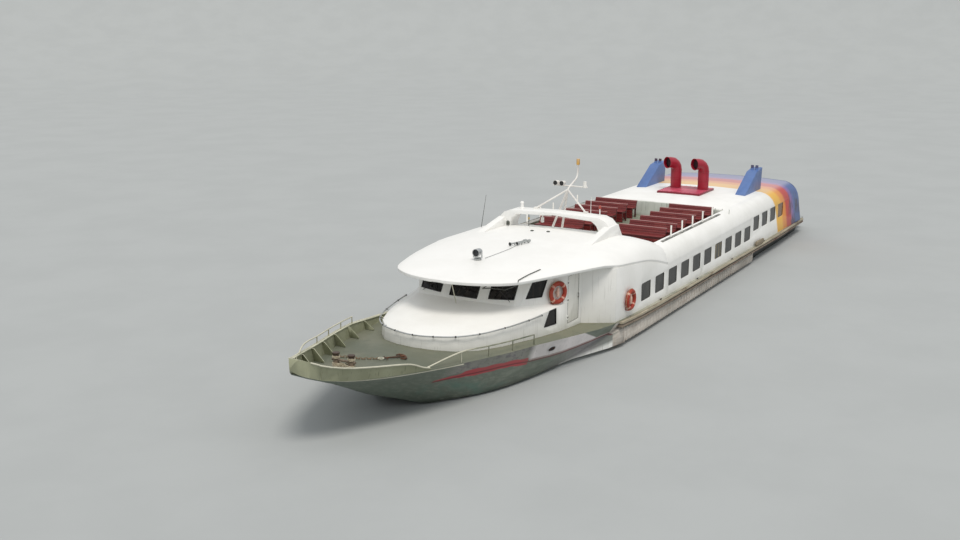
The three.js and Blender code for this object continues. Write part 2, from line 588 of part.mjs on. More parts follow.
function cabinRoofAft() {
  const section = [...CROWN, ...CROWN.toReversed().map(([y, z]) => [y, z - WALL])];
  return cut(slab(section, 'x', -16500, WELL_AFT_X), aftOfEnd(-WALL));
}

function upperDeck() {
  const [z0, z1] = [UPPER_DECK_Z - UPPER_DECK_THICK, UPPER_DECK_Z];
  const [y0, y1] = [innerSideY(z0) - GAP, innerSideY(z1) - GAP];
  const aft = slab([[-y0, z0], [y0, z0], [y1, z1], [-y1, z1]], 'x', WELL_AFT_X, ROOF_AFT_X);
  return join(aft, box([ROOF_AFT_X - 1, -y1, z0], [ROOF_AFT_X + WALL + 20, y1, z1]));
}

// The walls that close the bench deck ahead and astern
const wellWall = (x0, x1, half) => (
  slab([...half, ...half.toReversed().map(([y, z]) => [-y, z])], 'x', x0, x1));

function wellFrontWall() {
  const y = CABIN_Y - WALL - GAP;
  const wall = wellWall(ROOF_AFT_X, ROOF_AFT_X + WALL, [[y, UPPER_DECK_Z + GAP], [y, 3000]]);
  return cut(wall, aboveUnderside);
}

function wellAftWall() {
  const heights = [UPPER_DECK_Z + GAP, 2200, 2300, 2400, 2460];
  const half = heights.map((z) => [innerSideY(z) - 2 * GAP, z]);
  return wellWall(WELL_AFT_X + GAP, WELL_AFT_X + WALL, [...half, [SHOULDER_Y - 60, CABIN_Z - 100],
    [SHOULDER_Y - 60, CABIN_Z - 20], [1700, 2640], [600, ROOF_CROWN_Z - 20], [0, ROOF_CROWN_Z - 20]]);
}

// Leaning aft wall of the cabin, with its doorway
const END_DOOR = { half: 380, sill: 760, head: 2380, clear: 6, thick: 50 };
const endX = (z) => CABIN_TOP_X - (ROOF_CROWN_Z - z) * CABIN_LEAN;

// An outline in the end wall's own plane, drawn out level, or square to the plane, toward the bow
function leaning(outline, thick, shift = 0, square = false) {
  const tilt = Math.hypot(1, CABIN_LEAN);
  const [alongX, alongZ] = square ? [1 / tilt, -CABIN_LEAN / tilt] : [1, 0];
  const geometry = new THREE.ExtrudeGeometry(
    new THREE.Shape(outline.map(([y, z]) => new THREE.Vector2(y, z))), { depth: thick, bevelEnabled: false });
  const place = geometry.attributes.position;
  for (let i = 0; i < place.count; i++) {
    const [y, z, depth] = [place.getX(i), place.getY(i), shift + place.getZ(i)];
    place.setXYZ(i, endX(z) + depth * alongX, y, z + depth * alongZ);
  }
  return fromGeometry(geometry);
}

// The fixed or the moving half of an end door hinge, its middle at height z
function endHinge(z, moving) {
  const y = -END_DOOR.half - END_DOOR.clear;
  const tilt = Math.hypot(1, CABIN_LEAN);
  const [outX, outZ] = [-HINGE.out / tilt, HINGE.out * CABIN_LEAN / tilt];
  const half = HINGE.knuckle / 2;
  const spans = moving ? [[-half + GAP, half - GAP]] : [[-3 * half, -half - GAP], [half + GAP, 3 * half]];
  const [y0, y1] = moving ? [y + 4, y + HINGE.leaf] : [y - HINGE.leaf, y - 4];
  return join(...spans.flatMap(([low, high]) => [
    bar(...[z + low, z + high].map((end) => [endX(end) + outX, y, end + outZ]), HINGE.radius, HINGE.radius,
      8),
    leaning([low + outZ + 5, high + outZ - 5].flatMap((rise, k) => [
      [k ? y1 : y0, z + rise], [k ? y0 : y1, z + rise]]), 20, -8)]));
}

const END_HINGES = [END_DOOR.sill + 200, (END_DOOR.sill + END_DOOR.head) / 2, END_DOOR.head - 200];

function endWall() {
  const half = [[CABIN_Y, 500], ...SIDE_LINE.slice(1)].map(([y, z]) => [y - (z > 2590 ? GAP : 0), z]);
  const outline = [...half, ...CROWN.toReversed().slice(1, -1),
    ...half.toReversed().map(([y, z]) => [-y, z])];
  const { half: door, sill, head, clear } = END_DOOR;
  const doorway = leaning([[-door - clear, sill - clear], [door + clear, sill - clear],
    [door + clear, head + clear], [-door - clear, head + clear]], WALL + 400, -200, true);
  const wall = cut(leaning(outline, WALL - GAP), doorway, underDeck);
  return join(wall, ...END_HINGES.map((z) => endHinge(z, false)));
}

function endDoor() {
  const { half, sill, head, thick } = END_DOOR;
  const panel = leaning([[-half, sill], [half, sill], [half, head], [-half, head]], thick, 5, true);
  const light = leaning([[-190, 1750], [190, 1750], [190, 2200], [-190, 2200]], 400, -150);
  return join(cut(panel, light), ...END_HINGES.map((z) => endHinge(z, true)));
}

// Bench rows on the upper deck, joined by the two runners that carry them
const BENCH = { first: 420, pitch: 1010, rows: 6, y0: 700, y1: 2520, seat: 420, back: 660, deep: 430 };

function benches() {
  const z0 = UPPER_DECK_Z + GAP;
  const profile = [[0, 0], [0, BENCH.seat - 60], [25, BENCH.seat - 50], [25, BENCH.seat],
    [-BENCH.deep + 60, BENCH.seat - 15], [-BENCH.deep - 40, BENCH.back], [-BENCH.deep - 85, BENCH.back],
    [-BENCH.deep + 5, BENCH.seat - 70],
    [-60, BENCH.seat - 60], [-60, 0]];
  const rows = Array.from({ length: BENCH.rows }, (_, i) => slab(
    profile.map(([x, z]) => [BENCH.first - i * BENCH.pitch + x, z0 + z]), 'y', BENCH.y0, BENCH.y1));
  const legs = Array.from({ length: BENCH.rows }, (_, i) => {
    const x = BENCH.first - i * BENCH.pitch - BENCH.deep + 20;
    return [BENCH.y0 + 10, BENCH.y1 - 60].map((y) => box([x - 40, y, z0], [x + 20, y + 50, z0 + BENCH.seat]));
  }).flat();
  const x1 = BENCH.first;
  const x0 = x1 - (BENCH.rows - 1) * BENCH.pitch - BENCH.deep;
  const runners = [BENCH.y0 + 200, BENCH.y1 - 250].map((y) => box([x0, y, z0], [x1, y + 50, z0 + 40]));
  return join(...rows, ...legs, ...runners);
}

// Short posts along the edge of the bench deck, on the strip that carries them
const POSTS = {
  y: 2860, foot: 2556, high: 430, radius: 30, x: [400, -700, -1800, -2900, -4000],
};

function wellRail() {
  const { y, foot, high, radius } = POSTS;
  const posts = POSTS.x.map((x) => bar([x, y, foot - 60], [x, y, foot + high], radius, radius, 8));
  const strip = box([POSTS.x.at(-1) - 900, y - 45, foot - 60], [POSTS.x[0] + 900, y + 45, foot + 24]);
  const keepOut = slab([...SIDE_LINE.map(([py, z]) => [py + 0.3, z + 0.5]), [SHOULDER_Y - 300, CABIN_Z + 0.8],
    [SHOULDER_Y - 300, 500]], 'x', -6000, 1760);
  return cut(join(strip, ...posts), keepOut);
}

// Arch over the wheelhouse roof
function arch() {
  const [x0, x1] = [ARCH_X - ARCH_DEEP / 2, ARCH_X + ARCH_DEEP / 2];
  const half = [[2120, 2600], [2100, 3200], [2030, 3440], [1880, 3600], [1640, 3690], [0, ARCH_TOP]];
  const outer = [...half, ...half.slice(0, -1).toReversed().map(([y, z]) => [-y, z])];
  const frame = slab(outer, 'x', x0, x1);
  const hole = [[1700, 2500], [1670, 3220], [1580, 3420], [1400, 3560], [0, ARCH_TOP - 95], [-1400, 3560],
    [-1580, 3420], [-1670, 3220], [-1700, 2500]];
  const opening = slab(hole, 'x', x0 - 100, x1 + 100);
  const leg = slab([[x0 - 350, 2700], [x0 - 350, 2960], [x0 - 60, 3330], [x0 + 20, 3440], [x1, 3420],
    [x1 + 900, 3240], [x1 + 1700, 3060], [x1 + 1700, 2700]], 'y', 1845, 2095);
  return cut(join(cut(frame, opening), bothSides(leg)), belowRoofTop);
}

// Mast: two poles from the roof and two stays from the arch meet under a bent upper pole
const MAST = {
  apex: [2870, 0, 4360],
  poles: [[2980, -550, 2900], [2760, -260, 2850]],
  stays: [[3380, -930], [3380, 930]],
  bends: [[2700, 0, 4460], [2400, 0, 4580], [2160, 0, 4690], [2080, 0, 4900], [2070, 0, 5180]],
  spreader: { x: 2690, z: 4465, y0: -640, y1: 660 },
};

function mast(archSolid) {
  const pads = MAST.stays.map(([x, y]) => [x, y, ARCH_TOP - Math.abs(y) * 40 / 1640]);
  const stays = pads.flatMap(([x, y, z]) => [bar([x, y, z + 20], MAST.apex, 30, 30, 8),
    box([x - 70, y - 70, z - 5], [x + 70, y + 70, z + 50])]);
  const poles = MAST.poles.map((foot) => bar(foot, MAST.apex, 42, 36, 10));
  const upper = pipe([MAST.apex, ...MAST.bends], 30, 12);
  const { x, z, y0, y1 } = MAST.spreader;
  const carried = [
    bar([x, y0, z], [x, y1, z], 24, 24, 8),
    ...[-500, -260].map((y) => bar([x - 90, y, z + 90], [x + 130, y, z + 90], 62, 90, 12)),
    box([x - 25, -520, z], [x + 25, -240, z + 60]),
    bar([x, 560, z - 20], [x, 560, z + 190], 70, 55, 12),
    bar([2070, 0, 5130], [2070, 0, 5330], 60, 60, 12)];
  return cut(join(...stays, ...poles, upper, ...carried), raised(archSolid), belowRoofTop);
}

// Searchlight on the wheelhouse roof: a fixed foot and the lamp that pans on it
const LAMP = { x: 8950, y: 0, foot: 60 };
const lampFloor = roofCrown(LAMP.x) + GAP;

function searchlightBase() {
  return cut(join(
    bar([LAMP.x, LAMP.y, lampFloor - 60], [LAMP.x, LAMP.y, lampFloor + 40], 110, 110, 16),
    bar([LAMP.x, LAMP.y, lampFloor], [LAMP.x, LAMP.y, lampFloor + LAMP.foot], 38, 38, 12)), belowRoofTop);
}

function searchlight() {
  const z = lampFloor + LAMP.foot + GAP;
  const yoke = join(
    box([LAMP.x - 30, LAMP.y - 150, z], [LAMP.x + 30, LAMP.y + 150, z + 25]),
    box([LAMP.x - 30, LAMP.y - 150, z], [LAMP.x + 30, LAMP.y - 130, z + 210]),
    box([LAMP.x - 30, LAMP.y + 130, z], [LAMP.x + 30, LAMP.y + 150, z + 210]));
  const shell = bar([LAMP.x - 110, LAMP.y, z + 165], [LAMP.x + 120, LAMP.y, z + 165], 105, 125, 20);
  const pins = bar([LAMP.x, LAMP.y - 145, z + 165], [LAMP.x, LAMP.y + 145, z + 165], 16, 16, 8);
  const glass = bar([LAMP.x + 100, LAMP.y, z + 165], [LAMP.x + 140, LAMP.y, z + 165], 105, 105, 20);
  return join(yoke, cut(shell, glass), pins);
}

// Lifebuoy on its hooks: hung on a wall at [x, y, z], which faces +Y turned toward the bow by some degrees
const BUOY = { ring: 275, rope: 68, off: 92 };
const BUOYS = {
  fwd: { at: [8273, 2274, 2220], turn: 22.4, behind: houseSolid(-GAP) },
  aft: { at: [5200, CABIN_Y, 1450], turn: 0, behind: box([4000, 3000, 500], [6000, CABIN_Y + GAP, 2000]) },
};

function lifebuoy({ at, turn, behind }) {
  const ring = fromGeometry(
    new THREE.TorusGeometry(BUOY.ring, BUOY.rope, 8, 24).rotateX(Math.PI / 2).translate(0, BUOY.off, 0));
  const hooks = [-180, 180].map((dx) => box([dx - 20, -30, -320], [dx + 20, BUOY.off, -230]));
  return cut(join(ring, ...hooks).rotate([0, 0, -turn]).translate(at), behind);
}

// Roof plate with the two cowl ventilators
const PLATE = { x0: -9850, x1: -7950, y: 950, z1: 2780 };
const VENT = { x: -9350, y: 620, turn: 30, radius: 235, mouth: 243, high: 1110, bend: 330, front: 520 };

function ventPlate() {
  const foot = slab([[-PLATE.y, PLATE.z1], [PLATE.y, PLATE.z1], [PLATE.y, 2600], [-PLATE.y, 2600]], 'x',
    PLATE.x0, PLATE.x1);
  return cut(foot, belowCrown);
}

// A cowl ventilator on its plate, its mouth turned from the bow to starboard
function cowlVent(y) {
  const { bend, radius, mouth, front } = VENT;
  const pathPoints = [[0, 0], [0, VENT.high - bend], ...[0.25, 0.5, 0.75, 1].map((t) => {
    const angle = t * Math.PI / 2;
    return [bend * (1 - Math.cos(angle)), VENT.high - bend + bend * Math.sin(angle)];
  }), [front, VENT.high]];
  const radii = [radius, radius, radius, radius, radius, radius, mouth];
  const directions = [0, 0, 0.25, 0.5, 0.75, 1, 1];
  const ring = (i, thin) => {
    const [dx, dz] = pathPoints[i];
    const tilt = directions[i] * Math.PI / 2;
    return Array.from({ length: 20 }, (_, k) => {
      const angle = k / 20 * Math.PI * 2;
      const [u, v] = [(radii[i] - thin) * Math.cos(angle), (radii[i] - thin) * Math.sin(angle)];
      return [dx + u * Math.cos(tilt), v, dz - u * Math.sin(tilt)];
    });
  };
  const tube = (thin, skip) => capped(pathPoints.map((_, i) => ring(i, thin)).slice(skip));
  const throat = bar([bend + 60, 0, VENT.high], [front + 50, 0, VENT.high], mouth - 20, mouth - 20, 20);
  return cut(tube(0, 0), tube(14, 2), throat).rotate([0, 0, -VENT.turn])
    .translate([VENT.x, y, PLATE.z1 + GAP]);
}

// A tube through round rings, with fan ends
function capped(rings) {
  const count = rings[0].length;
  const faces = [];
  for (let s = 0; s + 1 < rings.length; s++) {
    for (let i = 0; i < count; i++) {
      const a = s * count + i;
      const b = s * count + (i + 1) % count;
      faces.push(a, b, b + count, a, b + count, a + count);
    }
  }
  const last = (rings.length - 1) * count;
  for (let i = 1; i + 1 < count; i++) faces.push(0, i + 1, i, last, last + i, last + i + 1);
  return solid(rings.flat(2), faces);
}

// Exhaust fin with its two pipes
const FIN = {
  front: -9400, topFront: -10950, top: 3460, topAft: -11780, high: 3570, aft: -11650, y0: 2040, y1: 2480,
};

function exhaustFin() {
  const body = slab([[FIN.front, 2400], [FIN.front, 2640], [FIN.topFront, FIN.top], [FIN.topAft, FIN.high],
    [FIN.aft, 2400]], 'y', FIN.y0, FIN.y1);
  const x = FIN.topAft + 420;
  const pipes = [FIN.y0 + 120, FIN.y1 - 120].map((y) => cut(
    bar([x + 60, y, FIN.top - 60], [x, y, FIN.high + 130], 65, 65, 14),
    bar([x + 40, y, FIN.top + 70], [x - 12, y, FIN.high + 180], 55, 55, 14)));
  return cut(join(body, ...pipes), belowCrown);
}

// Grab rail round the front of the wheelhouse
function grabRail() {
  const out = 70;
  const half = [[9300, 2284], [9900, 2180], [10850, 1935], [11650, 1605], [12130, 1160], [12355, 610],
    [12425, 0]];
  const level = (i) => 1760 - 20 * i;
  const normal = (i) => {
    const [a, b] = [half[Math.max(0, i - 1)], half[Math.min(half.length - 1, i + 1)]];
    const size = Math.hypot(b[0] - a[0], b[1] - a[1]);
    return i === half.length - 1 ? [1, 0] : [-(b[1] - a[1]) / size, (b[0] - a[0]) / size];
  };
  const line = half.map(([x, y], i) => {
    const [nx, ny] = normal(i);
    return [x + nx * out, y + ny * out, level(i)];
  });
  const route = [...line, ...line.slice(0, -1).toReversed().map(([x, y, z]) => [x, -y, z])];
  const stubs = line.map(([x, y, z], i) => {
    const [nx, ny] = normal(i);
    return bar([x, y, z], [x - nx * 110, y - ny * 110, z - 30], 12, 12, 6);
  });
  const all = join(pipe(route, 20, 40), ...stubs, ...stubs.slice(0, -1).map(mirrored));
  return cut(all, houseSolid(-GAP));
}

// Running gear under the hull
const shaftZ = (x) => PROP_Z + (x - PROP_X) * SHAFT_SLOPE;

function shaftAndStrut(hullSides) {
  const line = (from, to, radius, sides) => (
    bar([from, SHAFT_Y, shaftZ(from)], [to, SHAFT_Y, shaftZ(to)], radius, radius, sides));
  const shaft = line(PROP_X + (HUB_SEAT + GAP) / Math.hypot(1, SHAFT_SLOPE), -11000, 38, 12);
  const strutX = PROP_X + 400;
  const barrel = line(strutX - 110, strutX + 110, 70, 14);
  const arm = slab([[strutX - 60, PROP_Z + 60], [strutX + 60, PROP_Z + 60], [strutX + 120, -200],
    [strutX - 40, -200]], 'y', SHAFT_Y - 14, SHAFT_Y + 14);
  return cut(join(shaft, barrel, arm), hullSides.translate([0, 0, -GAP]));
}

// Blade sections: radius, half chord, turn in radians, half thickness
const BLADE = [[40, 120, 0.95, 22], [160, 170, 0.75, 16], [290, 165, 0.55, 11], [370, 110, 0.45, 8],
  [PROP_R, 40, 0.4, 5]];

function propeller() {
  const hub = bar([-110, 0, 0], [100, 0, 0], 55, 75, 18);
  const cap = bar([-190, 0, 0], [-109, 0, 0], 25, 55, 18);
  const blade = loft(BLADE.map(([radius, chord, turn, thick]) => (
    [[-chord, 0], [0, thick], [chord, 0], [0, -thick]].map(([u, v]) => [
      u * Math.cos(turn) * 0.5 - v * Math.sin(turn) - 5, (u * Math.sin(turn) + v * Math.cos(turn)) * 0.9,
      radius]))), 'xy');
  const blades = [0, 90, 180, 270].map((turn) => blade.rotate([turn, 0, 0]));
  const bore = bar([HUB_SEAT, 0, 0], [130, 0, 0], 45, 45, 14);
  const degrees = Math.atan(SHAFT_SLOPE) * 180 / Math.PI;
  return cut(join(hub, cap, ...blades), bore).rotate([0, -degrees, 0]).translate([PROP_X, SHAFT_Y, PROP_Z]);
}

function rudder() {
  const at = (dx, dy, z) => [RUDDER_X + dx, SHAFT_Y + dy, z];
  const blade = loft([[-420, 2], [-330, 14], [0, 34], [110, 24], [170, 3]].map(([dx, half]) => (
    [at(dx, -half, -1430), at(dx, half, -1430), at(dx, half, -620), at(dx, -half, -620)])));
  return join(blade, bar(at(0, 0, -1300), at(0, 0, RUDDER_TOP - GAP), 34, 34, 14));
}

// The boat
const boat = new THREE.Group();

function add(name, paint, manifold) {
  const mesh = new THREE.Mesh(toGeometry(manifold), new THREE.MeshStandardMaterial(PAINT[paint]));
  mesh.name = name;
  boat.add(mesh);
}

function addPair(name, paint, manifold) {
  add(`${name}_port`, paint, manifold);
  add(`${name}_stbd`, paint, mirrored(manifold));
}

const hullSolid = hull();
const hullSides = bothSides(hullSolid);
add('hull', 'hull', hullSolid);
const bulwarkSolid = bulwark();
add('bulwark', 'bulwark', bulwarkSolid);
add('bitts', 'dark', bitts());
add('bow_rail', 'steel', bowRail(bulwarkSolid));
add('foot_rail', 'steel', footRail());
add('stern_platform', 'grey', sternPlatform());
add('wheelhouse', 'white', wheelhouse());
add('wheelhouse_roof', 'white', wheelhouseRoof());
add('grab_rail', 'steel', grabRail());
add('cabin_roof', 'white', cabinRoofAft());
add('upper_deck', 'deck', upperDeck());
add('well_front_wall', 'white', wellFrontWall());
add('well_aft_wall', 'grey', wellAftWall());
add('end_wall', 'blue', endWall());
add('end_door', 'blue', endDoor());
const archSolid = arch();
add('arch', 'white', archSolid);
add('mast', 'white', mast(archSolid));
add('searchlight_base', 'steel', searchlightBase());
add('searchlight', 'steel', searchlight());
add('vent_plate', 'crimson', ventPlate());
for (const [name, place] of Object.entries(BUOYS)) addPair(`lifebuoy_${name}`, 'orange', lifebuoy(place));
addPair('rub_rail', 'rubber', rubRail(hullSides));
addPair('front_bulkhead', 'white', frontBulkhead());
addPair('side_door', 'white', sideDoor());
addPair('cabin_side', 'white', cabinSide());
addPair('benches', 'bench', benches());
addPair('well_rail', 'white', wellRail());
add('cowl_vent_port', 'crimson', cowlVent(VENT.y));
add('cowl_vent_stbd', 'crimson', cowlVent(-VENT.y));
addPair('exhaust_fin', 'blue', exhaustFin());
addPair('engine', 'grey', engine());
addPair('shaft', 'steel', shaftAndStrut(hullSides));
addPair('propeller', 'bronze', propeller());
addPair('rudder', 'dark', rudder());

export default boat;
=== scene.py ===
"""Looks of the passenger ferry.

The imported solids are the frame. This script gives each of them its finish, and adds the glazing,
trim, fastenings, rails and deck gear that stand on them. Metres, +X to the bow, +Y to port, +Z up.
"""

from __future__ import annotations

import json
import logging
import math
from dataclasses import dataclass, field
from enum import Enum
from functools import lru_cache
from typing import Any, ClassVar, Optional, Sequence, Union

import bmesh
import bpy
from mathutils import Matrix, Vector
from mathutils.bvhtree import BVHTree

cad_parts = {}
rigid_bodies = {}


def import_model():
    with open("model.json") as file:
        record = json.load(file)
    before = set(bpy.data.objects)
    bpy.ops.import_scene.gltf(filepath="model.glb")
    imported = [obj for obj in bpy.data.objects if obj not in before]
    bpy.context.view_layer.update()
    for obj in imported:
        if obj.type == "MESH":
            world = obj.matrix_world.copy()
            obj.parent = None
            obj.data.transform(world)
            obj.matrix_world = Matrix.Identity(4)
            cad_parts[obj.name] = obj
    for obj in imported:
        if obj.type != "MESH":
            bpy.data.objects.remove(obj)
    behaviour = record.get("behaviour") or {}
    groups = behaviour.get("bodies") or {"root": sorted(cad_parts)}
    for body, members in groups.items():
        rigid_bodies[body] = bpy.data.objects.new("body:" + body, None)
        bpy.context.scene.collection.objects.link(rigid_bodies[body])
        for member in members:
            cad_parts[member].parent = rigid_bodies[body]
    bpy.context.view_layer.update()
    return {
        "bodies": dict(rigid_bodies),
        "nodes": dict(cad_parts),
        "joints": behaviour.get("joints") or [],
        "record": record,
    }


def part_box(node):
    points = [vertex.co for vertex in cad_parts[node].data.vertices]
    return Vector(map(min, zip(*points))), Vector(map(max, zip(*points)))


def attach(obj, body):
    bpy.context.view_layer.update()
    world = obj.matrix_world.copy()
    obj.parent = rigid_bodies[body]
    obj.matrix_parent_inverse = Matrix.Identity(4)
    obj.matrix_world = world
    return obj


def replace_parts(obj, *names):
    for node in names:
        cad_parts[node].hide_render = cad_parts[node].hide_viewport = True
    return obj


LOG = logging.getLogger("ferry")
AHEAD, PORTWARD, UP = Vector((1, 0, 0)), Vector((0, 1, 0)), Vector((0, 0, 1))
Socket = bpy.types.NodeSocket
Value = Union[Socket, float, tuple]
Outline = Sequence[Sequence[float]]


class Side(Enum):
    """The two sides of the boat, with the sign of their Y."""

    PORT = 1
    STBD = -1

    @property
    def suffix(self) -> str:
        """The ending of this side's node names."""
        return self.name.lower()

    def mirror(self, point: Sequence[float]) -> Vector:
        """A point given for the port side, on this side."""
        return Vector((point[0], point[1] * self.value, point[2]))


# Node trees


def linear(code: str) -> tuple[float, float, float, float]:
    """Turns an sRGB hex colour to linear RGBA.

    Args:
        code: Colour such as "#F1F0EC".

    Returns:
        The colour that Blender's sockets take.
    """
    parts = [int(code[i : i + 2], 16) / 255 for i in (1, 3, 5)]
    return (*(p / 12.92 if p <= 0.04045 else ((p + 0.055) / 1.055) ** 2.4 for p in parts), 1.0)


def add_node(tree: bpy.types.NodeTree, kind: str, inputs: Optional[dict] = None, out: Any = 0,
             **settings: Any) -> Any:
    """Adds a node with its settings and links.

    Args:
        tree: Node tree that takes the node.
        kind: Blender's name of the node's type.
        inputs: A value or an output socket for each input, by name or number.
        out: Name or number of the output that is returned.
        settings: Properties of the node, set before its inputs.

    Returns:
        The chosen output socket, or the node where it has none.
    """
    node = tree.nodes.new(kind)
    for key, value in settings.items():
        setattr(node, key, value)
    for key, value in (inputs or {}).items():
        if isinstance(value, bpy.types.NodeSocket):
            tree.links.new(value, node.inputs[key])
        else:
            node.inputs[key].default_value = value
    return node.outputs[out] if len(node.outputs) else node


class Tree:
    """A node tree that is being built."""

    tree: bpy.types.NodeTree

    def add(self, kind: str, inputs: Optional[dict] = None, out: Any = 0, **settings: Any) -> Any:
        """Adds a node to this tree, as add_node does."""
        return add_node(self.tree, kind, inputs, out, **settings)


class Coats(Tree):
    """The layers of one finish, laid over each other in a material's node tree."""

    def __init__(self, name: str, colour: str, roughness: float) -> None:
        """Starts a material with its bottom coat.

        Args:
            name: Name of the material.
            colour: Bottom colour, as sRGB hex.
            roughness: Roughness of the bottom coat.
        """
        self.material = bpy.data.materials.new(name)
        self.material.use_nodes = True
        self.tree = self.material.node_tree
        self.tree.nodes.clear()
        self.place = self.add("ShaderNodeTexCoord", out="Object")
        axes = self.add("ShaderNodeSeparateXYZ", {0: self.place}).node
        self.x, self.y, self.z = axes.outputs
        normal = self.add("ShaderNodeNewGeometry", out="Normal")
        self.facing = self.add("ShaderNodeSeparateXYZ", {0: normal}).node.outputs
        self.colour: Value = linear(colour)
        self.roughness: Value = roughness
        self.height: Value = 0.0

    def patches(self, size: float, low: float = 0.35, high: float = 0.65,
                stretch: tuple = (1, 1, 1), detail: float = 4, seed: float = 0.0) -> Socket:
        """A mask of soft patches.

        Args:
            size: Metres across a patch.
            low: Noise value below which the mask is 0.
            high: Noise value above which the mask is 1.
            stretch: How much longer a patch is along each axis.
            detail: Octaves of the noise.
            seed: Shifts the pattern.

        Returns:
            The mask, from 0 to 1.
        """
        scale = tuple(1 / (size * s) for s in stretch)
        at = self.add("ShaderNodeMapping",
                      {"Vector": self.place, "Scale": scale, "Location": (seed, seed, seed)})
        noise = self.add("ShaderNodeTexNoise",
                         {"Vector": at, "Scale": 1.0, "Detail": detail, "Roughness": 0.6})
        return self.add("ShaderNodeMapRange", {0: noise, 1: low, 2: high},
                        interpolation_type="SMOOTHSTEP")

    def between(self, value: Value, low: float, high: float, soft: float = 0.01) -> Socket:
        """A mask that is 1 where a value lies between two limits, with soft edges."""
        rise = self.add("ShaderNodeMapRange", {0: value, 1: low - soft, 2: low + soft})
        fall = self.add("ShaderNodeMapRange",
                        {0: value, 1: high - soft, 2: high + soft, 3: 1.0, 4: 0.0})
        return self.both(rise, fall)

    def both(self, *masks: Value) -> Socket:
        """The product of several masks."""
        product = masks[0]
        for mask in masks[1:]:
            product = self.add("ShaderNodeMath", {0: product, 1: mask}, operation="MULTIPLY")
        return product

    def over(self, points: Outline) -> Socket:
        """Height above a line that bends at each (x, z) point, for stripes along the side."""
        height = self.add("ShaderNodeMath", {0: self.z, 1: points[0][1]}, operation="SUBTRACT")
        for (start, low), (end, high) in zip(points, points[1:]):
            rise = self.add("ShaderNodeMapRange",
                            {0: self.x, 1: start, 2: end, 3: 0.0, 4: high - low})
            height = self.add("ShaderNodeMath", {0: height, 1: rise}, operation="SUBTRACT")
        return height

    def coat(self, colour: str, *masks: Value, rough: Optional[float] = None) -> None:
        """Lays a coat over what is there.

        Args:
            colour: The coat's colour, as sRGB hex.
            masks: Where it covers, each from 0 to 1. They are multiplied.
            rough: Its own roughness, if it has one.
        """
        mask = self.both(*masks)
        self.colour = self.add("ShaderNodeMix", {0: mask, 6: self.colour, 7: linear(colour)}, out=2,
                               data_type="RGBA")
        if rough is not None:
            self.roughness = self.add("ShaderNodeMix", {0: mask, 2: self.roughness, 3: rough})

    def raise_by(self, mask: Value, depth: float) -> None:
        """Raises the surface by a depth in metres where the mask is 1."""
        self.height = self.add("ShaderNodeMath", {0: mask, 1: depth, 2: self.height},
                               operation="MULTIPLY_ADD")

    def finish(self, **shader: Any) -> bpy.types.Material:
        """Joins the coats to the shader.

        Args:
            shader: Constant values for the shader's sockets, with _ for a space.

        Returns:
            The finished material.
        """
        inputs: dict = {"Base Color": self.colour, "Roughness": self.roughness}
        inputs.update({key.replace("_", " "): value for key, value in shader.items()})
        if isinstance(self.height, bpy.types.NodeSocket):
            inputs["Normal"] = self.add("ShaderNodeBump",
                                        {"Height": self.height, "Distance": 1.0, "Strength": 0.8})
        surface = self.add("ShaderNodeBsdfPrincipled", inputs)
        self.add("ShaderNodeOutputMaterial", {"Surface": surface})
        return self.material


# Finishes


@dataclass(frozen=True)
class Finish:
    """A bottom coat, with the coats of its own kind over it."""

    name: str
    colour: str
    roughness: float = field(default=0.5, kw_only=True)
    # Constant values of the shader's other sockets, with _ for a space
    shader: ClassVar[dict] = {}

    def lay(self, coats: Coats) -> None:
        """Lays the coats that its kind has."""

    def mark(self, coats: Coats) -> None:
        """Lays zones of its own under the wear; most finishes have none."""

    def material(self) -> bpy.types.Material:
        """Builds the material."""
        coats = Coats(self.name, self.colour, self.roughness)
        self.lay(coats)
        return coats.finish(**self.shader)


@dataclass(frozen=True)
class Paint(Finish):
    """Marine enamel, brushed or sprayed on metal or moulded resin: satin, with broad uneven fading,
    rain streaks down the uprights, and dirt that gathers in small spots."""

    shade: str
    dirt: str = "#6E695C"
    roughness: float = field(default=0.45, kw_only=True)
    patch: float = 1.6
    faded: float = 0.5
    streaks: float = 0.22
    spots: float = 0.12
    shader: ClassVar[dict] = {"Coat_Weight": 0.15, "Coat_Roughness": 0.25}

    def lay(self, coats: Coats) -> None:
        """Lays its zones, then the fading, streaks and spots over them."""
        self.mark(coats)
        fade = coats.add("ShaderNodeMath", {0: coats.patches(self.patch), 1: self.faded},
                         operation="MULTIPLY")
        coats.coat(self.shade, fade, rough=self.roughness + 0.12)
        upright = coats.add("ShaderNodeMath", {0: coats.facing[2]}, operation="ABSOLUTE")
        upright = coats.add("ShaderNodeMapRange", {0: upright, 1: 0.75, 2: 0.35})
        # Streaks are drawn about 60 mm wide, coarser than real ones, to show from 40 m away
        runs = coats.patches(0.06, 0.56, 0.72, (1, 1, 14), 3)
        coats.coat(self.dirt, runs, upright, self.streaks)
        coats.coat(self.dirt, coats.patches(0.09, 0.62, 0.74, seed=5.0), self.spots, rough=0.7)
        # Brush and roller marks, 25 mm apart
        coats.raise_by(coats.patches(0.025, 0.2, 0.8, detail=2), 0.0006)


class Reading(Enum):
    """What a zone of paint is masked by: a coordinate, or which way the face looks."""

    X = "x"
    OUT = "distance from the middle plane"
    Z = "z"
    UP = "up"
    AHEAD = "ahead"


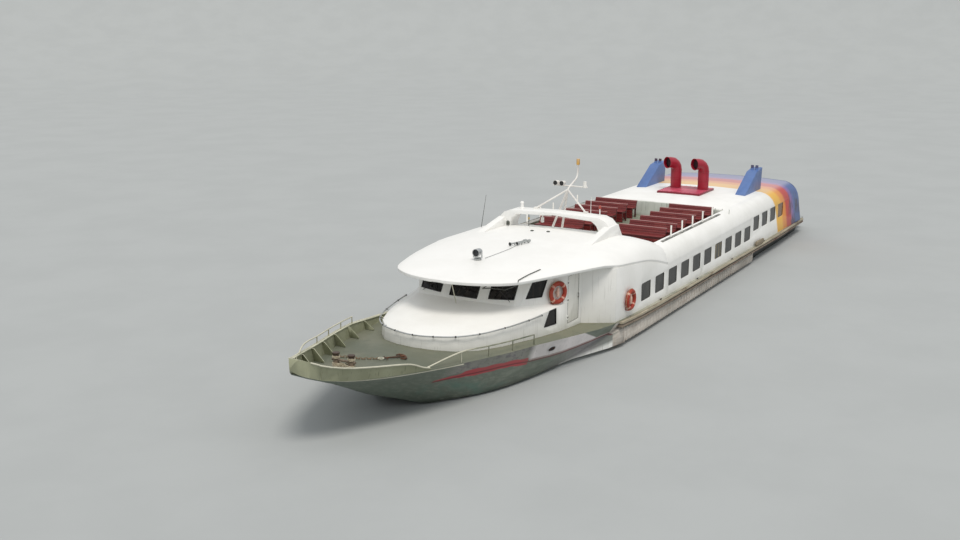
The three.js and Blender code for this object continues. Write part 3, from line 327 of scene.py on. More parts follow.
@dataclass(frozen=True)
class ZonedPaint(Paint):
    """Enamel masked off in zones, each in its own colour, such as a cap or a pipe; on the bulwark
    and the well rail some zones are painted shade.
    """

    # Reading, colour, lowest, highest, softness
    zones: tuple = ()

    def mark(self, coats: Coats) -> None:
        """Lays each zone over the one before it."""
        ahead = coats.add("ShaderNodeMath", {0: coats.facing[0]}, operation="ABSOLUTE")
        out = coats.add("ShaderNodeMath", {0: coats.y}, operation="ABSOLUTE")
        values = {Reading.X: coats.x, Reading.OUT: out, Reading.Z: coats.z,
                  Reading.UP: coats.facing[2], Reading.AHEAD: ahead}
        for reading, colour, low, high, soft in self.zones:
            coats.coat(colour, coats.between(values[reading], low, high, soft))


@dataclass(frozen=True)
class BandedPaint(Paint):
    """White enamel whose aft end is sprayed in slanting bands that run into each other: yellow,
    orange, red, lilac and blue."""

    lean: float = 0.5
    level: float = 2.7
    # Where each band starts along the roof's edge, its colour, and the width of its soft edge
    bands: tuple = ((-10.9, "#F0B840", 0.1), (-11.85, "#E5913C", 0.22), (-12.45, "#C23C34", 0.18),
                    (-13.3, "#8466A6", 0.16), (-13.7, "#46629E", 0.22))

    def mark(self, coats: Coats) -> None:
        """Lays the fading of the white, then sprays each band over it."""
        lift = coats.add("ShaderNodeMath", {0: coats.z, 1: -self.lean, 2: self.lean * self.level},
                        operation="MULTIPLY_ADD")
        along = coats.add("ShaderNodeMath", {0: coats.x, 1: lift}, operation="ADD")
        coats.coat(self.shade, coats.patches(self.patch))
        for start, colour, soft in self.bands:
            mask = coats.add("ShaderNodeMapRange", {0: along, 1: start + soft, 2: start - soft},
                            interpolation_type="SMOOTHSTEP")
            coats.coat(colour, mask)
        # Dark blots sprayed over the last bands, low on the side
        low = coats.add("ShaderNodeMapRange", {0: coats.z, 1: 2.35, 2: 1.9})
        aft = coats.add("ShaderNodeMapRange", {0: along, 1: -12.7, 2: -13.3})
        blots = coats.patches(0.32, 0.48, 0.6, (1, 1, 2.2), 2, seed=3.0)
        coats.coat("#35304B", low, aft, blots, 0.9)
        # On the level roof the same colours have faded to chalk
        flat = coats.add("ShaderNodeMapRange", {0: coats.facing[2], 1: 0.8, 2: 0.99, 4: 0.4})
        aft = coats.add("ShaderNodeMapRange",
                        {0: along, 1: self.bands[0][0], 2: self.bands[0][0] - 0.2})
        coats.coat("#E3D9DA", flat, aft, rough=0.7)


@dataclass(frozen=True)
class EndWallPaint(Paint):
    """Blue enamel on the end wall, with dark soft upright shapes sprayed over it."""

    def mark(self, coats: Coats) -> None:
        """Sprays the dark shapes."""
        coats.coat("#2F3856", coats.patches(0.34, 0.46, 0.58, (1, 1, 2.6), 2, seed=3.0), rough=0.5)
        coats.coat("#B7A0C4", coats.patches(0.6, 0.6, 0.7, (1, 1, 2.0), 2, seed=9.0))


@dataclass(frozen=True)
class HullPaint(Paint):
    """Grey-green hull enamel, chalked and stained, with a red flash along the bow, a white panel
    aft of it, pale strakes with white noses, and darker paint at the quarter. A painted reflection
    of the water mottles the sides low down, and painted shade darkens the waterline, a band under
    the white panel and the faces under the chine. The decks are rolled in matt olive with sand in
    it, worn pale along the cabin."""

    deck: str = "#656857"
    flash: str = "#B0363F"
    # The middle of the flash, and of the thin line that runs on from it along the white panel
    core: tuple = ((13.5, 0.8), (12.6, 0.83), (11.5, 0.8), (10.9, 0.755), (10.33, 0.67),
                   (9.78, 0.622), (9.3, 0.581), (8.8, 0.551), (8.0, 0.546), (6.75, 0.566),
                   (6.2, 0.548))
    flash_end: float = 10.36
    strake_from: float = 6.2
    quarter_from: float = -8.03

    def mark(self, coats: Coats) -> None:
        """Lays the zones of the hull's sides, bottom and decks."""
        side = coats.add("ShaderNodeMapRange", {0: coats.facing[2], 1: 0.72, 2: 0.6})
        above = coats.over(self.core)
        # Long level stains along the sides
        coats.coat("#7F867A", coats.patches(0.09, 0.42, 0.66, (22, 1, 1), 3), rough=0.65)
        # Blue-green mottles low on the sides, drawn out along the hull: a painted reflection of the
        # water
        low = coats.between(coats.z, -0.4, 0.75, 0.25)
        coats.coat("#5C8074", coats.patches(0.8, 0.48, 0.68, (2.5, 1, 1)), low, 0.75)
        # Scuffed and patched over between the flash and the deck edge
        upper = coats.both(side, coats.between(above, 0.12, 1.0, 0.03),
                           coats.between(coats.x, 10.2, 13.3, 0.25))
        coats.coat("#93908A", upper, 0.75, rough=0.6)
        coats.coat("#6C656C", upper, coats.patches(0.14, 0.5, 0.64, (2, 1, 1), 3, seed=11.0), 0.8)
        # A patchy dark band along the waterline: grime, and painted shade under the overhang of the
        # strakes and the chine
        waterline_grime_and_shade = coats.both(side, coats.between(coats.z, -0.2, 0.16, 0.06),
                           coats.patches(0.3, 0.35, 0.6, (3, 1, 0.4)))
        coats.coat("#3F4338", waterline_grime_and_shade, 0.75, rough=0.8)
        self.lay_strakes(coats, side, above)
        self.lay_flash(coats, side, above)
        # The faces that look down, under the waterline, are painted dark as the shade under the
        # chine
        bottom = coats.add("ShaderNodeMapRange", {0: coats.facing[2], 1: -0.25, 2: -0.4})
        coats.coat("#33363A", bottom, coats.between(coats.z, -3, 0.02, 0.04), rough=0.7)
        # A dark band of painted shade at the waterline
        coats.coat("#3F4338", side, coats.between(coats.z, -0.2, 0.03, 0.03), 0.8, rough=0.8)
        self.lay_deck(coats)

    def lay_strakes(self, coats: Coats, side: Socket, above: Socket) -> None:
        """Lays the pale strakes, their white noses and the dark quarter.

        Args:
            coats: The coats so far.
            side: Mask of the faces that stand upright.
            above: Height above the middle of the flash.
        """
        wedge = coats.both(side, coats.between(above, -0.7, 0.0, 0.02),
                           coats.between(coats.x, self.strake_from, 8.6, 0.9))
        coats.coat("#8F8B8D", wedge, 0.85)
        strake = coats.both(side, coats.between(coats.x, self.quarter_from, self.strake_from, 0.02))
        coats.coat("#C6BEB4", strake)
        coats.coat("#D8D1C8", strake, coats.patches(0.12, 0.4, 0.7, (18, 1, 1), 3))
        coats.coat("#A08B7C", strake, coats.patches(0.5, 0.52, 0.7, (3, 1, 0.5), seed=8.0), 0.6)
        nose = coats.between(coats.over(((self.strake_from, 0.32), (8.35, 0.12))), -1.0, 0.0, 0.06)
        coats.coat("#F4F4F0", side, nose, coats.between(coats.x, self.strake_from, 8.6, 0.02),
                   rough=0.45)
        coats.coat("#17151A", side, coats.between(coats.x, -20, self.quarter_from, 0.02), rough=0.5)

    def lay_flash(self, coats: Coats, side: Socket, above: Socket) -> None:
        """Lays the red flash, its thin line aft, the white panel, and a band of painted shade under
        it.

        Args:
            coats: The coats so far.
            side: Mask of the faces that stand upright.
            above: Height above the middle of the flash.
        """
        aft_edge = coats.add("ShaderNodeMath", {0: coats.z, 1: -2.5, 2: coats.x},
                             operation="MULTIPLY_ADD")
        panel = coats.both(side, coats.between(above, 0.065, 1.0, 0.012),
                           coats.between(aft_edge, 5.47, 20, 0.04))
        coats.coat("#EFE8E8", panel, coats.between(coats.x, 5.0, 10.3, 0.14), rough=0.4)
        # A pinkish grey band under the white panel: painted shade under the moulding along its edge
        moulding = coats.between(above, 0.02, 0.065, 0.01)
        coats.coat("#B9A29E", side, moulding, coats.between(coats.x, 6.2, 10.3, 0.02), rough=0.5)
        ragged = coats.patches(0.4, 0.3, 0.7, (1.6, 1, 1), 1, seed=2.0)
        off = coats.add("ShaderNodeMath", {0: ragged, 1: -0.05, 2: above}, operation="MULTIPLY_ADD")
        off = coats.add("ShaderNodeMath", {0: off}, operation="ABSOLUTE")
        half = coats.add("ShaderNodeMapRange", {0: coats.x, 1: 13.6, 2: 12.5, 4: 0.1})
        inside = coats.add("ShaderNodeMath", {0: half, 1: off}, operation="SUBTRACT")
        taper = coats.between(coats.x, self.flash_end, 13.55, 0.02)
        coats.coat(self.flash, side, coats.between(inside, 0.0, 1.0, 0.01), taper, rough=0.4)
        coats.coat("#6E1722", side, coats.between(above, -0.025, 0.018, 0.008),
                   coats.between(coats.x, 6.2, 13.55, 0.03), 0.85, rough=0.5)

    def lay_deck(self, coats: Coats) -> None:
        """Rolls the deck paint over the level faces."""
        level = coats.add("ShaderNodeMapRange", {0: coats.facing[2], 1: 0.8, 2: 0.88})
        deck = coats.both(level, coats.between(coats.z, 0.4, 9, 0.02))
        coats.coat(self.deck, deck, rough=0.85)
        coats.coat("#7C7B6C", deck, coats.patches(1.3, 0.42, 0.7), 0.7, rough=0.85)
        coats.coat("#84836C", deck, coats.between(coats.x, -20, 12.2, 1.0), 0.6, rough=0.85)
        coats.coat("#B9B6A6", deck, coats.between(coats.x, -20, 4.5, 1.2), 0.75, rough=0.85)
        coats.coat("#5F6353", deck, coats.patches(0.35, 0.52, 0.75, (2, 1, 1), seed=4.0), 0.6,
                   rough=0.9)
        # Sand in the paint, drawn as 12 mm grains because the real 1 mm grit is too fine to show
        coats.raise_by(coats.both(deck, coats.patches(0.012, 0.4, 0.7, detail=1)), 0.0012)


@dataclass(frozen=True)
class DeckPaint(Paint):
    """Matt olive deck enamel with sand in it, worn pale where it is trodden."""

    walk: str = "#97998A"

    def mark(self, coats: Coats) -> None:
        """Wears the walked stretches and adds the grit."""
        coats.coat(self.walk, coats.patches(0.9, 0.45, 0.7, (3, 1, 1)), 0.7, rough=0.8)
        coats.raise_by(coats.patches(0.012, 0.4, 0.7, detail=1), 0.0012)


@dataclass(frozen=True)
class Metal(Finish):
    """Bare or polished metal, such as stainless tube or cast bronze, with handling marks."""

    tarnish: str
    grain: float = 0.02
    dull: float = 0.4
    roughness: float = field(default=0.3, kw_only=True)
    shader: ClassVar[dict] = {"Metallic": 0.85}

    def lay(self, coats: Coats) -> None:
        """Dulls it in broad patches and in fine marks."""
        coats.coat(self.tarnish, coats.patches(self.grain * 8, 0.45, 0.75), self.dull,
                   rough=self.roughness + 0.25)
        coats.coat(self.tarnish, coats.patches(self.grain, 0.6, 0.7), self.dull,
                   rough=self.roughness + 0.35)
        coats.raise_by(coats.patches(self.grain * 0.4, 0.3, 0.7, detail=2), 0.0003)


@dataclass(frozen=True)
class Iron(Finish):
    """Cast iron or steel under old paint: rough, pitted, and rusted through in patches."""

    colour: str = "#2E2D2E"
    rust: str = "#6B3F26"
    rusted: float = 0.6
    roughness: float = field(default=0.7, kw_only=True)

    def lay(self, coats: Coats) -> None:
        """Rusts it through in patches."""
        coats.coat(self.rust, coats.patches(0.08, 0.48, 0.62), self.rusted, rough=0.9)
        coats.coat("#8A5A38", coats.patches(0.03, 0.58, 0.7, seed=2.0), self.rusted, rough=0.95)
        coats.raise_by(coats.patches(0.015, 0.35, 0.7), 0.0015)


@dataclass(frozen=True)
class Rubber(Finish):
    """Extruded rubber, scuffed pale along its face and dirty in patches."""

    scuff: str
    dirt: str = "#5F4D3A"
    roughness: float = field(default=0.75, kw_only=True)

    def lay(self, coats: Coats) -> None:
        """Scuffs and dirties it, then lays its own wear."""
        coats.coat(self.scuff, coats.patches(0.12, 0.45, 0.65, (9, 1, 1)), 0.7, rough=0.85)
        coats.coat(self.dirt, coats.patches(0.3, 0.5, 0.66, (3, 1, 0.6), seed=7.0), 0.8, rough=0.9)
        self.mark(coats)
        coats.raise_by(coats.patches(0.02, 0.3, 0.7), 0.001)


@dataclass(frozen=True)
class RailRubber(Rubber):
    """The rub rail's rubber: pale above, and its lower half scraped brown in use."""

    # The deck edge that the rail runs along: x and z
    deck: tuple = ((-16.35, 0.66), (-12, 0.69), (-6, 0.73), (0, 0.78), (4, 0.84), (6.5, 0.93),
                   (8.7, 1.07))

    def mark(self, coats: Coats) -> None:
        """Scrapes the lower half, and paints shade into the groove and under the lower edge."""
        above = coats.over(self.deck)
        coats.coat("#85776A", coats.between(above, -1.0, -0.1, 0.01), 0.85, rough=0.9)
        coats.coat("#6A4A3E", coats.between(above, -1.0, -0.1, 0.01),
                   coats.patches(0.2, 0.5, 0.7, (5, 1, 1)), rough=0.9)
        # Near-black painted shade in the groove and under the rail's lower edge
        coats.coat("#2B2422", coats.between(above, -0.125, -0.1, 0.006), rough=0.9)
        coats.coat("#2B2422", coats.between(above, -1.0, -0.215, 0.006), rough=0.9)


@dataclass(frozen=True)
class Glass(Finish):
    """Dark tinted safety glass: glossy, with soft upright bars of painted reflection on it."""

    bars: str
    bar_width: float = 0.07
    shown: float = 0.6
    # Aft and fore end of the window with a yellowish painted reflection on it, and the x aft of
    # which the panes are amber
    curtain: tuple = (-4.1, -3.15)
    amber_aft: float = -99.0
    roughness: float = field(default=0.08, kw_only=True)
    shader: ClassVar[dict] = {"IOR": 1.52, "Specular_IOR_Level": 0.28}

    def lay(self, coats: Coats) -> None:
        """Paints the upright reflections, darker patches, the yellowish reflection and the amber
        tint.
        """
        # Soft upright bars of painted reflection
        coats.coat(self.bars, coats.patches(self.bar_width, 0.45, 0.62, (1, 1, 12), 2), self.shown)
        coats.coat("#1B1C1C", coats.patches(0.4, 0.45, 0.7, seed=6.0), 0.6)
        # A yellowish painted reflection on one window
        coats.coat("#8C7A4E", coats.between(coats.x, *self.curtain, 0.02),
                   coats.patches(0.15, 0.4, 0.6, (1, 1, 5)), 0.5)
        coats.coat("#8A5A2C", coats.between(coats.x, -30, self.amber_aft, 0.01), 0.7)


@dataclass(frozen=True)
class Planks(Finish):
    """Painted hardwood slats: dark red gloss, grain showing through, worn on the edges."""

    worn: str
    grain: str = "#541C1E"
    shader: ClassVar[dict] = {"Coat_Weight": 0.2, "Coat_Roughness": 0.3}

    def lay(self, coats: Coats) -> None:
        """Draws the grain and wears the slats in patches."""
        # Grain lines 8 mm apart, drawn wider than the real 2 mm so that they show
        coats.coat(self.grain, coats.patches(0.008, 0.45, 0.65, (1, 40, 1), 3), 0.5)
        coats.coat(self.worn, coats.patches(0.3, 0.5, 0.7, (1, 2, 1), seed=3.0), 0.55, rough=0.65)
        coats.raise_by(coats.patches(0.008, 0.4, 0.7, (1, 40, 1), 2), 0.0006)


@dataclass(frozen=True)
class Plastic(Finish):
    """Moulded plastic or foam skin, faded by the sun and scratched."""

    faded: str

    def lay(self, coats: Coats) -> None:
        """Fades it in patches and scratches it."""
        coats.coat(self.faded, coats.patches(0.16, 0.4, 0.65), 0.55, rough=self.roughness + 0.15)
        coats.coat("#5C4A3E", coats.patches(0.035, 0.6, 0.72, seed=4.0), 0.35, rough=0.8)
        coats.raise_by(coats.patches(0.01, 0.35, 0.7), 0.0004)


@dataclass(frozen=True)
class Fibre(Finish):
    """Laid rope of natural or polyester fibre, weathered grey on its high turns."""

    colour: str = "#B8A582"
    shade: str = "#7C6A4C"
    roughness: float = field(default=0.9, kw_only=True)
    shader: ClassVar[dict] = {"Sheen_Weight": 0.2}

    def lay(self, coats: Coats) -> None:
        """Greys it in patches."""
        coats.coat(self.shade, coats.patches(0.05, 0.4, 0.65), 0.7, rough=0.95)
        coats.raise_by(coats.patches(0.006, 0.3, 0.7), 0.001)


WHITE = Paint("enamel_white", "#F7F6F3", "#EDECE8", dirt="#9A9589", faded=0.5, streaks=0.1,
              spots=0.04)
# A slightly darker copy of the white enamel for the wheelhouse walls and bulkheads: painted shade,
# with more streaks and dirt
HOUSE_WHITE = Paint("enamel_house", "#F3F2EE", "#E9E7E2", dirt="#8A8577", faded=0.6, streaks=0.2,
                    spots=0.08)
DOOR_WHITE = ZonedPaint("enamel_door", "#EAE8E1", "#DCDAD1", dirt="#7A7566", faded=0.5, streaks=0.3,
                        spots=0.1, zones=((Reading.OUT, "#4A4A44", 2.439, 9, 0.001),))
BITTS_PAINT = ZonedPaint("enamel_bitts", "#39352F", "#4B4239", dirt="#4A382C", roughness=0.6,
                         patch=0.2, spots=0.6,
                         zones=((Reading.Z, "#8F7E6D", 1.6, 1.86, 0.02),
                                (Reading.Z, "#463327", 1.86, 3, 0.02)))
# Below z 2.585 the well rail's sill is painted dark grey as the shadow along the well's edge
RAIL_TRIM = ZonedPaint("enamel_well_rail", "#EDEBE5", "#DAD7CE", dirt="#7E7868", patch=0.5,
                       streaks=0.2, zones=((Reading.Z, "#4B4D49", 0, 2.585, 0.004),))
BANDED = BandedPaint("enamel_banded", "#F6F5F2", "#EDECE8", dirt="#8B867A", faded=0.0, streaks=0.1,
                     spots=0.05)
END_BLUE = EndWallPaint("enamel_end_wall", "#56709F", "#46608F", faded=0.5)
HULL = HullPaint("enamel_hull", "#6B7468", "#5B6459", dirt="#4E4A40", roughness=0.55, faded=0.35,
                 streaks=0.3)
# Faces that look fore or aft, such as the brackets' sides, are painted darker as shade; the level
# top is cream
BULWARK = ZonedPaint("enamel_bulwark", "#989A80", "#7F8166", dirt="#55573D", roughness=0.65,
                     patch=0.8, streaks=0.5, spots=0.3,
                     zones=((Reading.AHEAD, "#70735A", 0.93, 2, 0.03),
                            (Reading.UP, "#D0CEBA", 0.9, 2, 0.04)))
CREAM = Paint("enamel_cream", "#D2CFBC", "#B9B6A1", dirt="#6A614E", roughness=0.5, patch=0.5,
              streaks=0.3, spots=0.3)
FOOT_RAIL = ZonedPaint("enamel_foot_rail", "#D2CFBC", "#B9B6A1", dirt="#6A614E", patch=0.5,
                       streaks=0.3, spots=0.3, zones=((Reading.X, "#525B45", -20, 12.7, 0.25),))
STRAKE = Paint("enamel_strake", "#C6BFB6", "#B3ABA2", dirt="#7D6A5C", faded=0.6, streaks=0.4,
               spots=0.3)
DECK = DeckPaint("deck_enamel", "#7A7E6C", "#666A5A", roughness=0.85, faded=0.5, streaks=0.0,
                 spots=0.3)
GREY = Paint("enamel_grey", "#A6A9A8", "#8E9292", roughness=0.55, patch=0.7, streaks=0.35,
             spots=0.2)
PLATFORM = ZonedPaint("enamel_platform", "#A6A9A8", "#8E9292", roughness=0.6, patch=0.7,
                      streaks=0.35, spots=0.3, zones=((Reading.Z, "#35322E", 0.575, 9, 0.004),))
PALE_GREEN = Paint("enamel_pale_green", "#DADDD5", "#C6CAC0", dirt="#6F7466", roughness=0.5,
                   patch=0.7, streaks=0.4)
DARK_TRIM = Paint("enamel_dark_trim", "#3F423C", "#54574E", roughness=0.5, patch=0.4, streaks=0.2)
CRIMSON = Paint("enamel_crimson", "#980F27", "#AC283C", dirt="#5C1620", roughness=0.35, patch=0.6,
                faded=0.5, streaks=0.3)
# A dark crimson disc in each ventilator's throat: painted shade of the deep trunk
THROAT_SHADE = Paint("sooty_enamel", "#2E0A12", "#1C0A0E", roughness=0.8)
PLATE_RED = ZonedPaint("enamel_vent_plate", "#7C1226", "#8E2034", dirt="#5C1620", roughness=0.4,
                       patch=0.5, streaks=0.2, spots=0.2,
                       zones=((Reading.UP, "#D0566E", 0.9, 2, 0.03),))
BLUE = ZonedPaint("enamel_blue", "#5776AE", "#486399", dirt="#39465F", roughness=0.45, patch=0.7,
                  streaks=0.25, zones=((Reading.Z, "#3A1016", 3.585, 9, 0.004),))
MAST_WHITE = ZonedPaint("enamel_mast", "#EFEDE8", "#D8CFC9", dirt="#8B6F62", roughness=0.45,
                        patch=0.4, streaks=0.3, spots=0.2,
                        zones=((Reading.Z, "#D9A542", 5.12, 9, 0.004),))
BENCH = Planks("painted_hardwood", "#77201F", "#94433C")
# The cap's pale pink is a painted highlight along the top edge of each back
BENCH_CAP_HIGHLIGHT = Planks("worn_hardwood", "#B98581", "#D0A8A2", "#8C4B49")
BENCH_FRAME = Planks("painted_bench_frame", "#551B1E", "#6F3532", "#3A1214")
BUOY = Plastic("buoy_shell", "#9A2C18", "#B04E3A")
BUOY_BAND = Plastic("buoy_tape", "#D2A08E", "#C08A78", roughness=0.4)
CANISTER = Plastic("buoy_light_shell", "#DDBBAA", "#C99C8A", roughness=0.4)
STEEL = Metal("stainless_tube", "#C4C6C6", "#8E8F8D")
BRONZE = Metal("cast_bronze", "#A9824A", "#5F5A38", 0.05, 0.6, roughness=0.35)
IRON = Iron("painted_iron")
RUSTED = Iron("rusted_iron", "#4A3527", "#70452C", 0.8)
CHAIN = Iron("weathered_chain", "#7A6A54", "#8C6848", 0.7)
RUB = RailRubber("fender_rubber", "#A39A86", "#BBB39F")
BEIGE_BOARD = Rubber("beige_fender_board", "#8B7F6B", "#A1957F")
# Black rubber for gaskets, wipers and clamps; also painted shade in the horns' and drums' mouths
BLACK = Rubber("black_rubber", "#222223", "#3A3A3A", "#1A1918", roughness=0.6)
GASKET = Rubber("grey_gasket", "#6B6A66", "#84827C", "#4A4844", roughness=0.5)
DARK_GLASS = Glass("tinted_glass", "#151414", "#4E4B47", shown=0.6, amber_aft=-11.6)
DOOR_GLASS = Glass("door_glass", "#151414", "#4E4B47", shown=0.4)
HELM_GLASS = Glass("helm_glass", "#141213", "#3A322C", 0.18, 0.35)
LENS = Glass("lamp_lens", "#1C1E22", "#5C6066", 0.05, 0.4)
ROPE = Fibre("manila_rope")
PALE_ROPE = Fibre("polyester_rope", "#D6CBB2", "#A4977A")
LAMP_RED = Plastic("lamp_shell_red", "#A9483C", "#C77A6C", roughness=0.35)
LAMP_YELLOW = Plastic("lamp_shell_yellow", "#D9B15A", "#E6CF9A", roughness=0.35)


@lru_cache(maxsize=None)
def dressed(finish: Finish) -> bpy.types.Material:
    """The one material of a finish, built when it is first used."""
    return finish.material()


# Meshes


def ellipse(middle: Vector, across: Vector, other: Vector, count: int) -> list[Vector]:
    """Even points round an ellipse, given its middle and two half axes."""
    turns = [math.tau * k / count for k in range(count)]
    return [middle + across * math.cos(t) + other * math.sin(t) for t in turns]


def square_to(along: Vector) -> tuple[Vector, Vector]:
    """Two directions that stand square to a direction and to each other."""
    across = along.cross(UP if abs(along.z) < 0.9 else AHEAD).normalized()
    return across, along.cross(across)


class Form:
    """A mesh that is built at its final place."""

    def __init__(self) -> None:
        """Starts with nothing."""
        self.mesh = bmesh.new()

    def block(self, low: Sequence[float], high: Sequence[float]) -> Form:
        """Adds a box between two opposite corners."""
        low, high = Vector(map(min, low, high)), Vector(map(max, low, high))
        made = bmesh.ops.create_cube(self.mesh, size=1.0)["verts"]
        for vert in made:
            vert.co = Vector((c + 0.5) * (b - a) + a for c, a, b in zip(vert.co, low, high))
        return self

    def prism(self, outline: Outline, reach: Sequence[float]) -> Form:
        """Adds a flat outline drawn out along a vector."""
        reach = Vector(reach)
        near = [self.mesh.verts.new(Vector(p)) for p in outline]
        far = [self.mesh.verts.new(Vector(p) + reach) for p in outline]
        self.mesh.faces.new(near[::-1])
        self.mesh.faces.new(far)
        for i in range(len(near)):
            j = (i + 1) % len(near)
            self.mesh.faces.new((near[i], near[j], far[j], far[i]))
        return self

    def rings(self, rings: Sequence[Sequence[Vector]], closed: bool = False,
              capped: bool = True) -> Form:
        """Adds a skin through rings of points, with as many points in each.

        Args:
            rings: The rings, in order.
            closed: Whether the last ring joins the first.
            capped: Whether the ends get a face.

        Returns:
            This form.
        """
        rows = [[self.mesh.verts.new(p) for p in ring] for ring in rings]
        count = len(rows[0])
        for a, b in zip(rows, rows[1:] + ([rows[0]] if closed else [])):
            for i in range(count):
                j = (i + 1) % count
                self.mesh.faces.new((a[i], a[j], b[j], b[i]))
        if capped and not closed:
            self.mesh.faces.new(rows[0][::-1])
            self.mesh.faces.new(rows[-1])
        return self

    def tube(self, path: Sequence[Sequence[float]], radius: Union[float, Sequence[float]],
             sides: int = 12, closed: bool = False) -> Form:
        """Adds a round tube along a path.

        Args:
            path: Points along the middle.
            radius: One radius, or one for each point.
            sides: Points round the tube.
            closed: Whether the path is a loop.

        Returns:
            This form.
        """
        points = [Vector(p) for p in path]
        radii = [radius] * len(points) if isinstance(radius, (int, float)) else list(radius)
        count, across, rings = len(points), None, []
        for i, (point, wide) in enumerate(zip(points, radii)):
            before = points[i - 1] if i or closed else point
            after = points[(i + 1) % count] if i + 1 < count or closed else point
            along = (after - before).normalized()
            if across is None:
                across, _ = square_to(along)
            across = (across - along * across.dot(along)).normalized()
            rings.append(ellipse(point, across * wide, along.cross(across) * wide, sides))
        return self.rings(rings, closed)

    def lathe(self, profile: Sequence[tuple[float, float]], centre: Sequence[float],
              axis: Sequence[float], sides: int = 24) -> Form:
        """Adds a turned shape.

        Args:
            profile: Pairs of radius and height along the axis.
            centre: Where height is 0.
            axis: Direction of the axis.
            sides: Points round the shape.

        Returns:
            This form.
        """
        centre, axis = Vector(centre), Vector(axis).normalized()
        across, other = square_to(axis)
        rings = []
        for radius, height in profile:
            # A ring of no size would be one point many times over
            wide = max(radius, 1e-4)
            rings.append(ellipse(centre + axis * height, across * wide, other * wide, sides))
        return self.rings(rings)

    def sheet(self, rows: Sequence[Sequence[Vector]], thick: float, inward: Vector) -> Form:
        """Adds a closed sheet through a grid of points.

        Args:
            rows: The grid of points on its outer face.
            thick: Its thickness.
            inward: Direction of the inner face.

        Returns:
            This form.
        """
        outer = [[self.mesh.verts.new(p) for p in row] for row in rows]
        inner = [[self.mesh.verts.new(p + inward * thick) for p in row] for row in rows]
        height, width = len(rows), len(rows[0])
        for i in range(height - 1):
            for j in range(width - 1):
                self.mesh.faces.new((outer[i][j], outer[i][j + 1], outer[i + 1][j + 1],
                                     outer[i + 1][j]))
                self.mesh.faces.new((inner[i][j], inner[i + 1][j], inner[i + 1][j + 1],
                                     inner[i][j + 1]))
        edge = ([(0, j) for j in range(width)] + [(i, width - 1) for i in range(1, height)]
                + [(height - 1, j) for j in range(width - 2, -1, -1)]
                + [(i, 0) for i in range(height - 2, 0, -1)])
        for (a, b), (c, d) in zip(edge, edge[1:] + edge[:1]):
            self.mesh.faces.new((outer[a][b], inner[a][b], inner[c][d], outer[c][d]))
        return self

    def moved(self, matrix: Matrix) -> Form:
        """Moves all that is built so far."""
        bmesh.ops.transform(self.mesh, matrix=matrix, verts=self.mesh.verts)
        return self

    def data(self, name: str) -> bpy.types.Mesh:
        """The finished mesh, faces outward."""
        bmesh.ops.recalc_face_normals(self.mesh, faces=self.mesh.faces)
        mesh = bpy.data.meshes.new(name)
        self.mesh.to_mesh(mesh)
        self.mesh.free()
        return mesh


def baked(piece: bpy.types.Object) -> bpy.types.Object:
    """Turns a piece's modifiers into plain mesh.

    Args:
        piece: Object with live modifiers.

    Returns:
        The same object, with no modifier left.
    """
    name = piece.name
    seen = bpy.context.evaluated_depsgraph_get()
    seen.update()
    mesh = bpy.data.meshes.new_from_object(piece.evaluated_get(seen))
    piece.modifiers.clear()
    piece.data = mesh
    mesh.name = name
    return piece


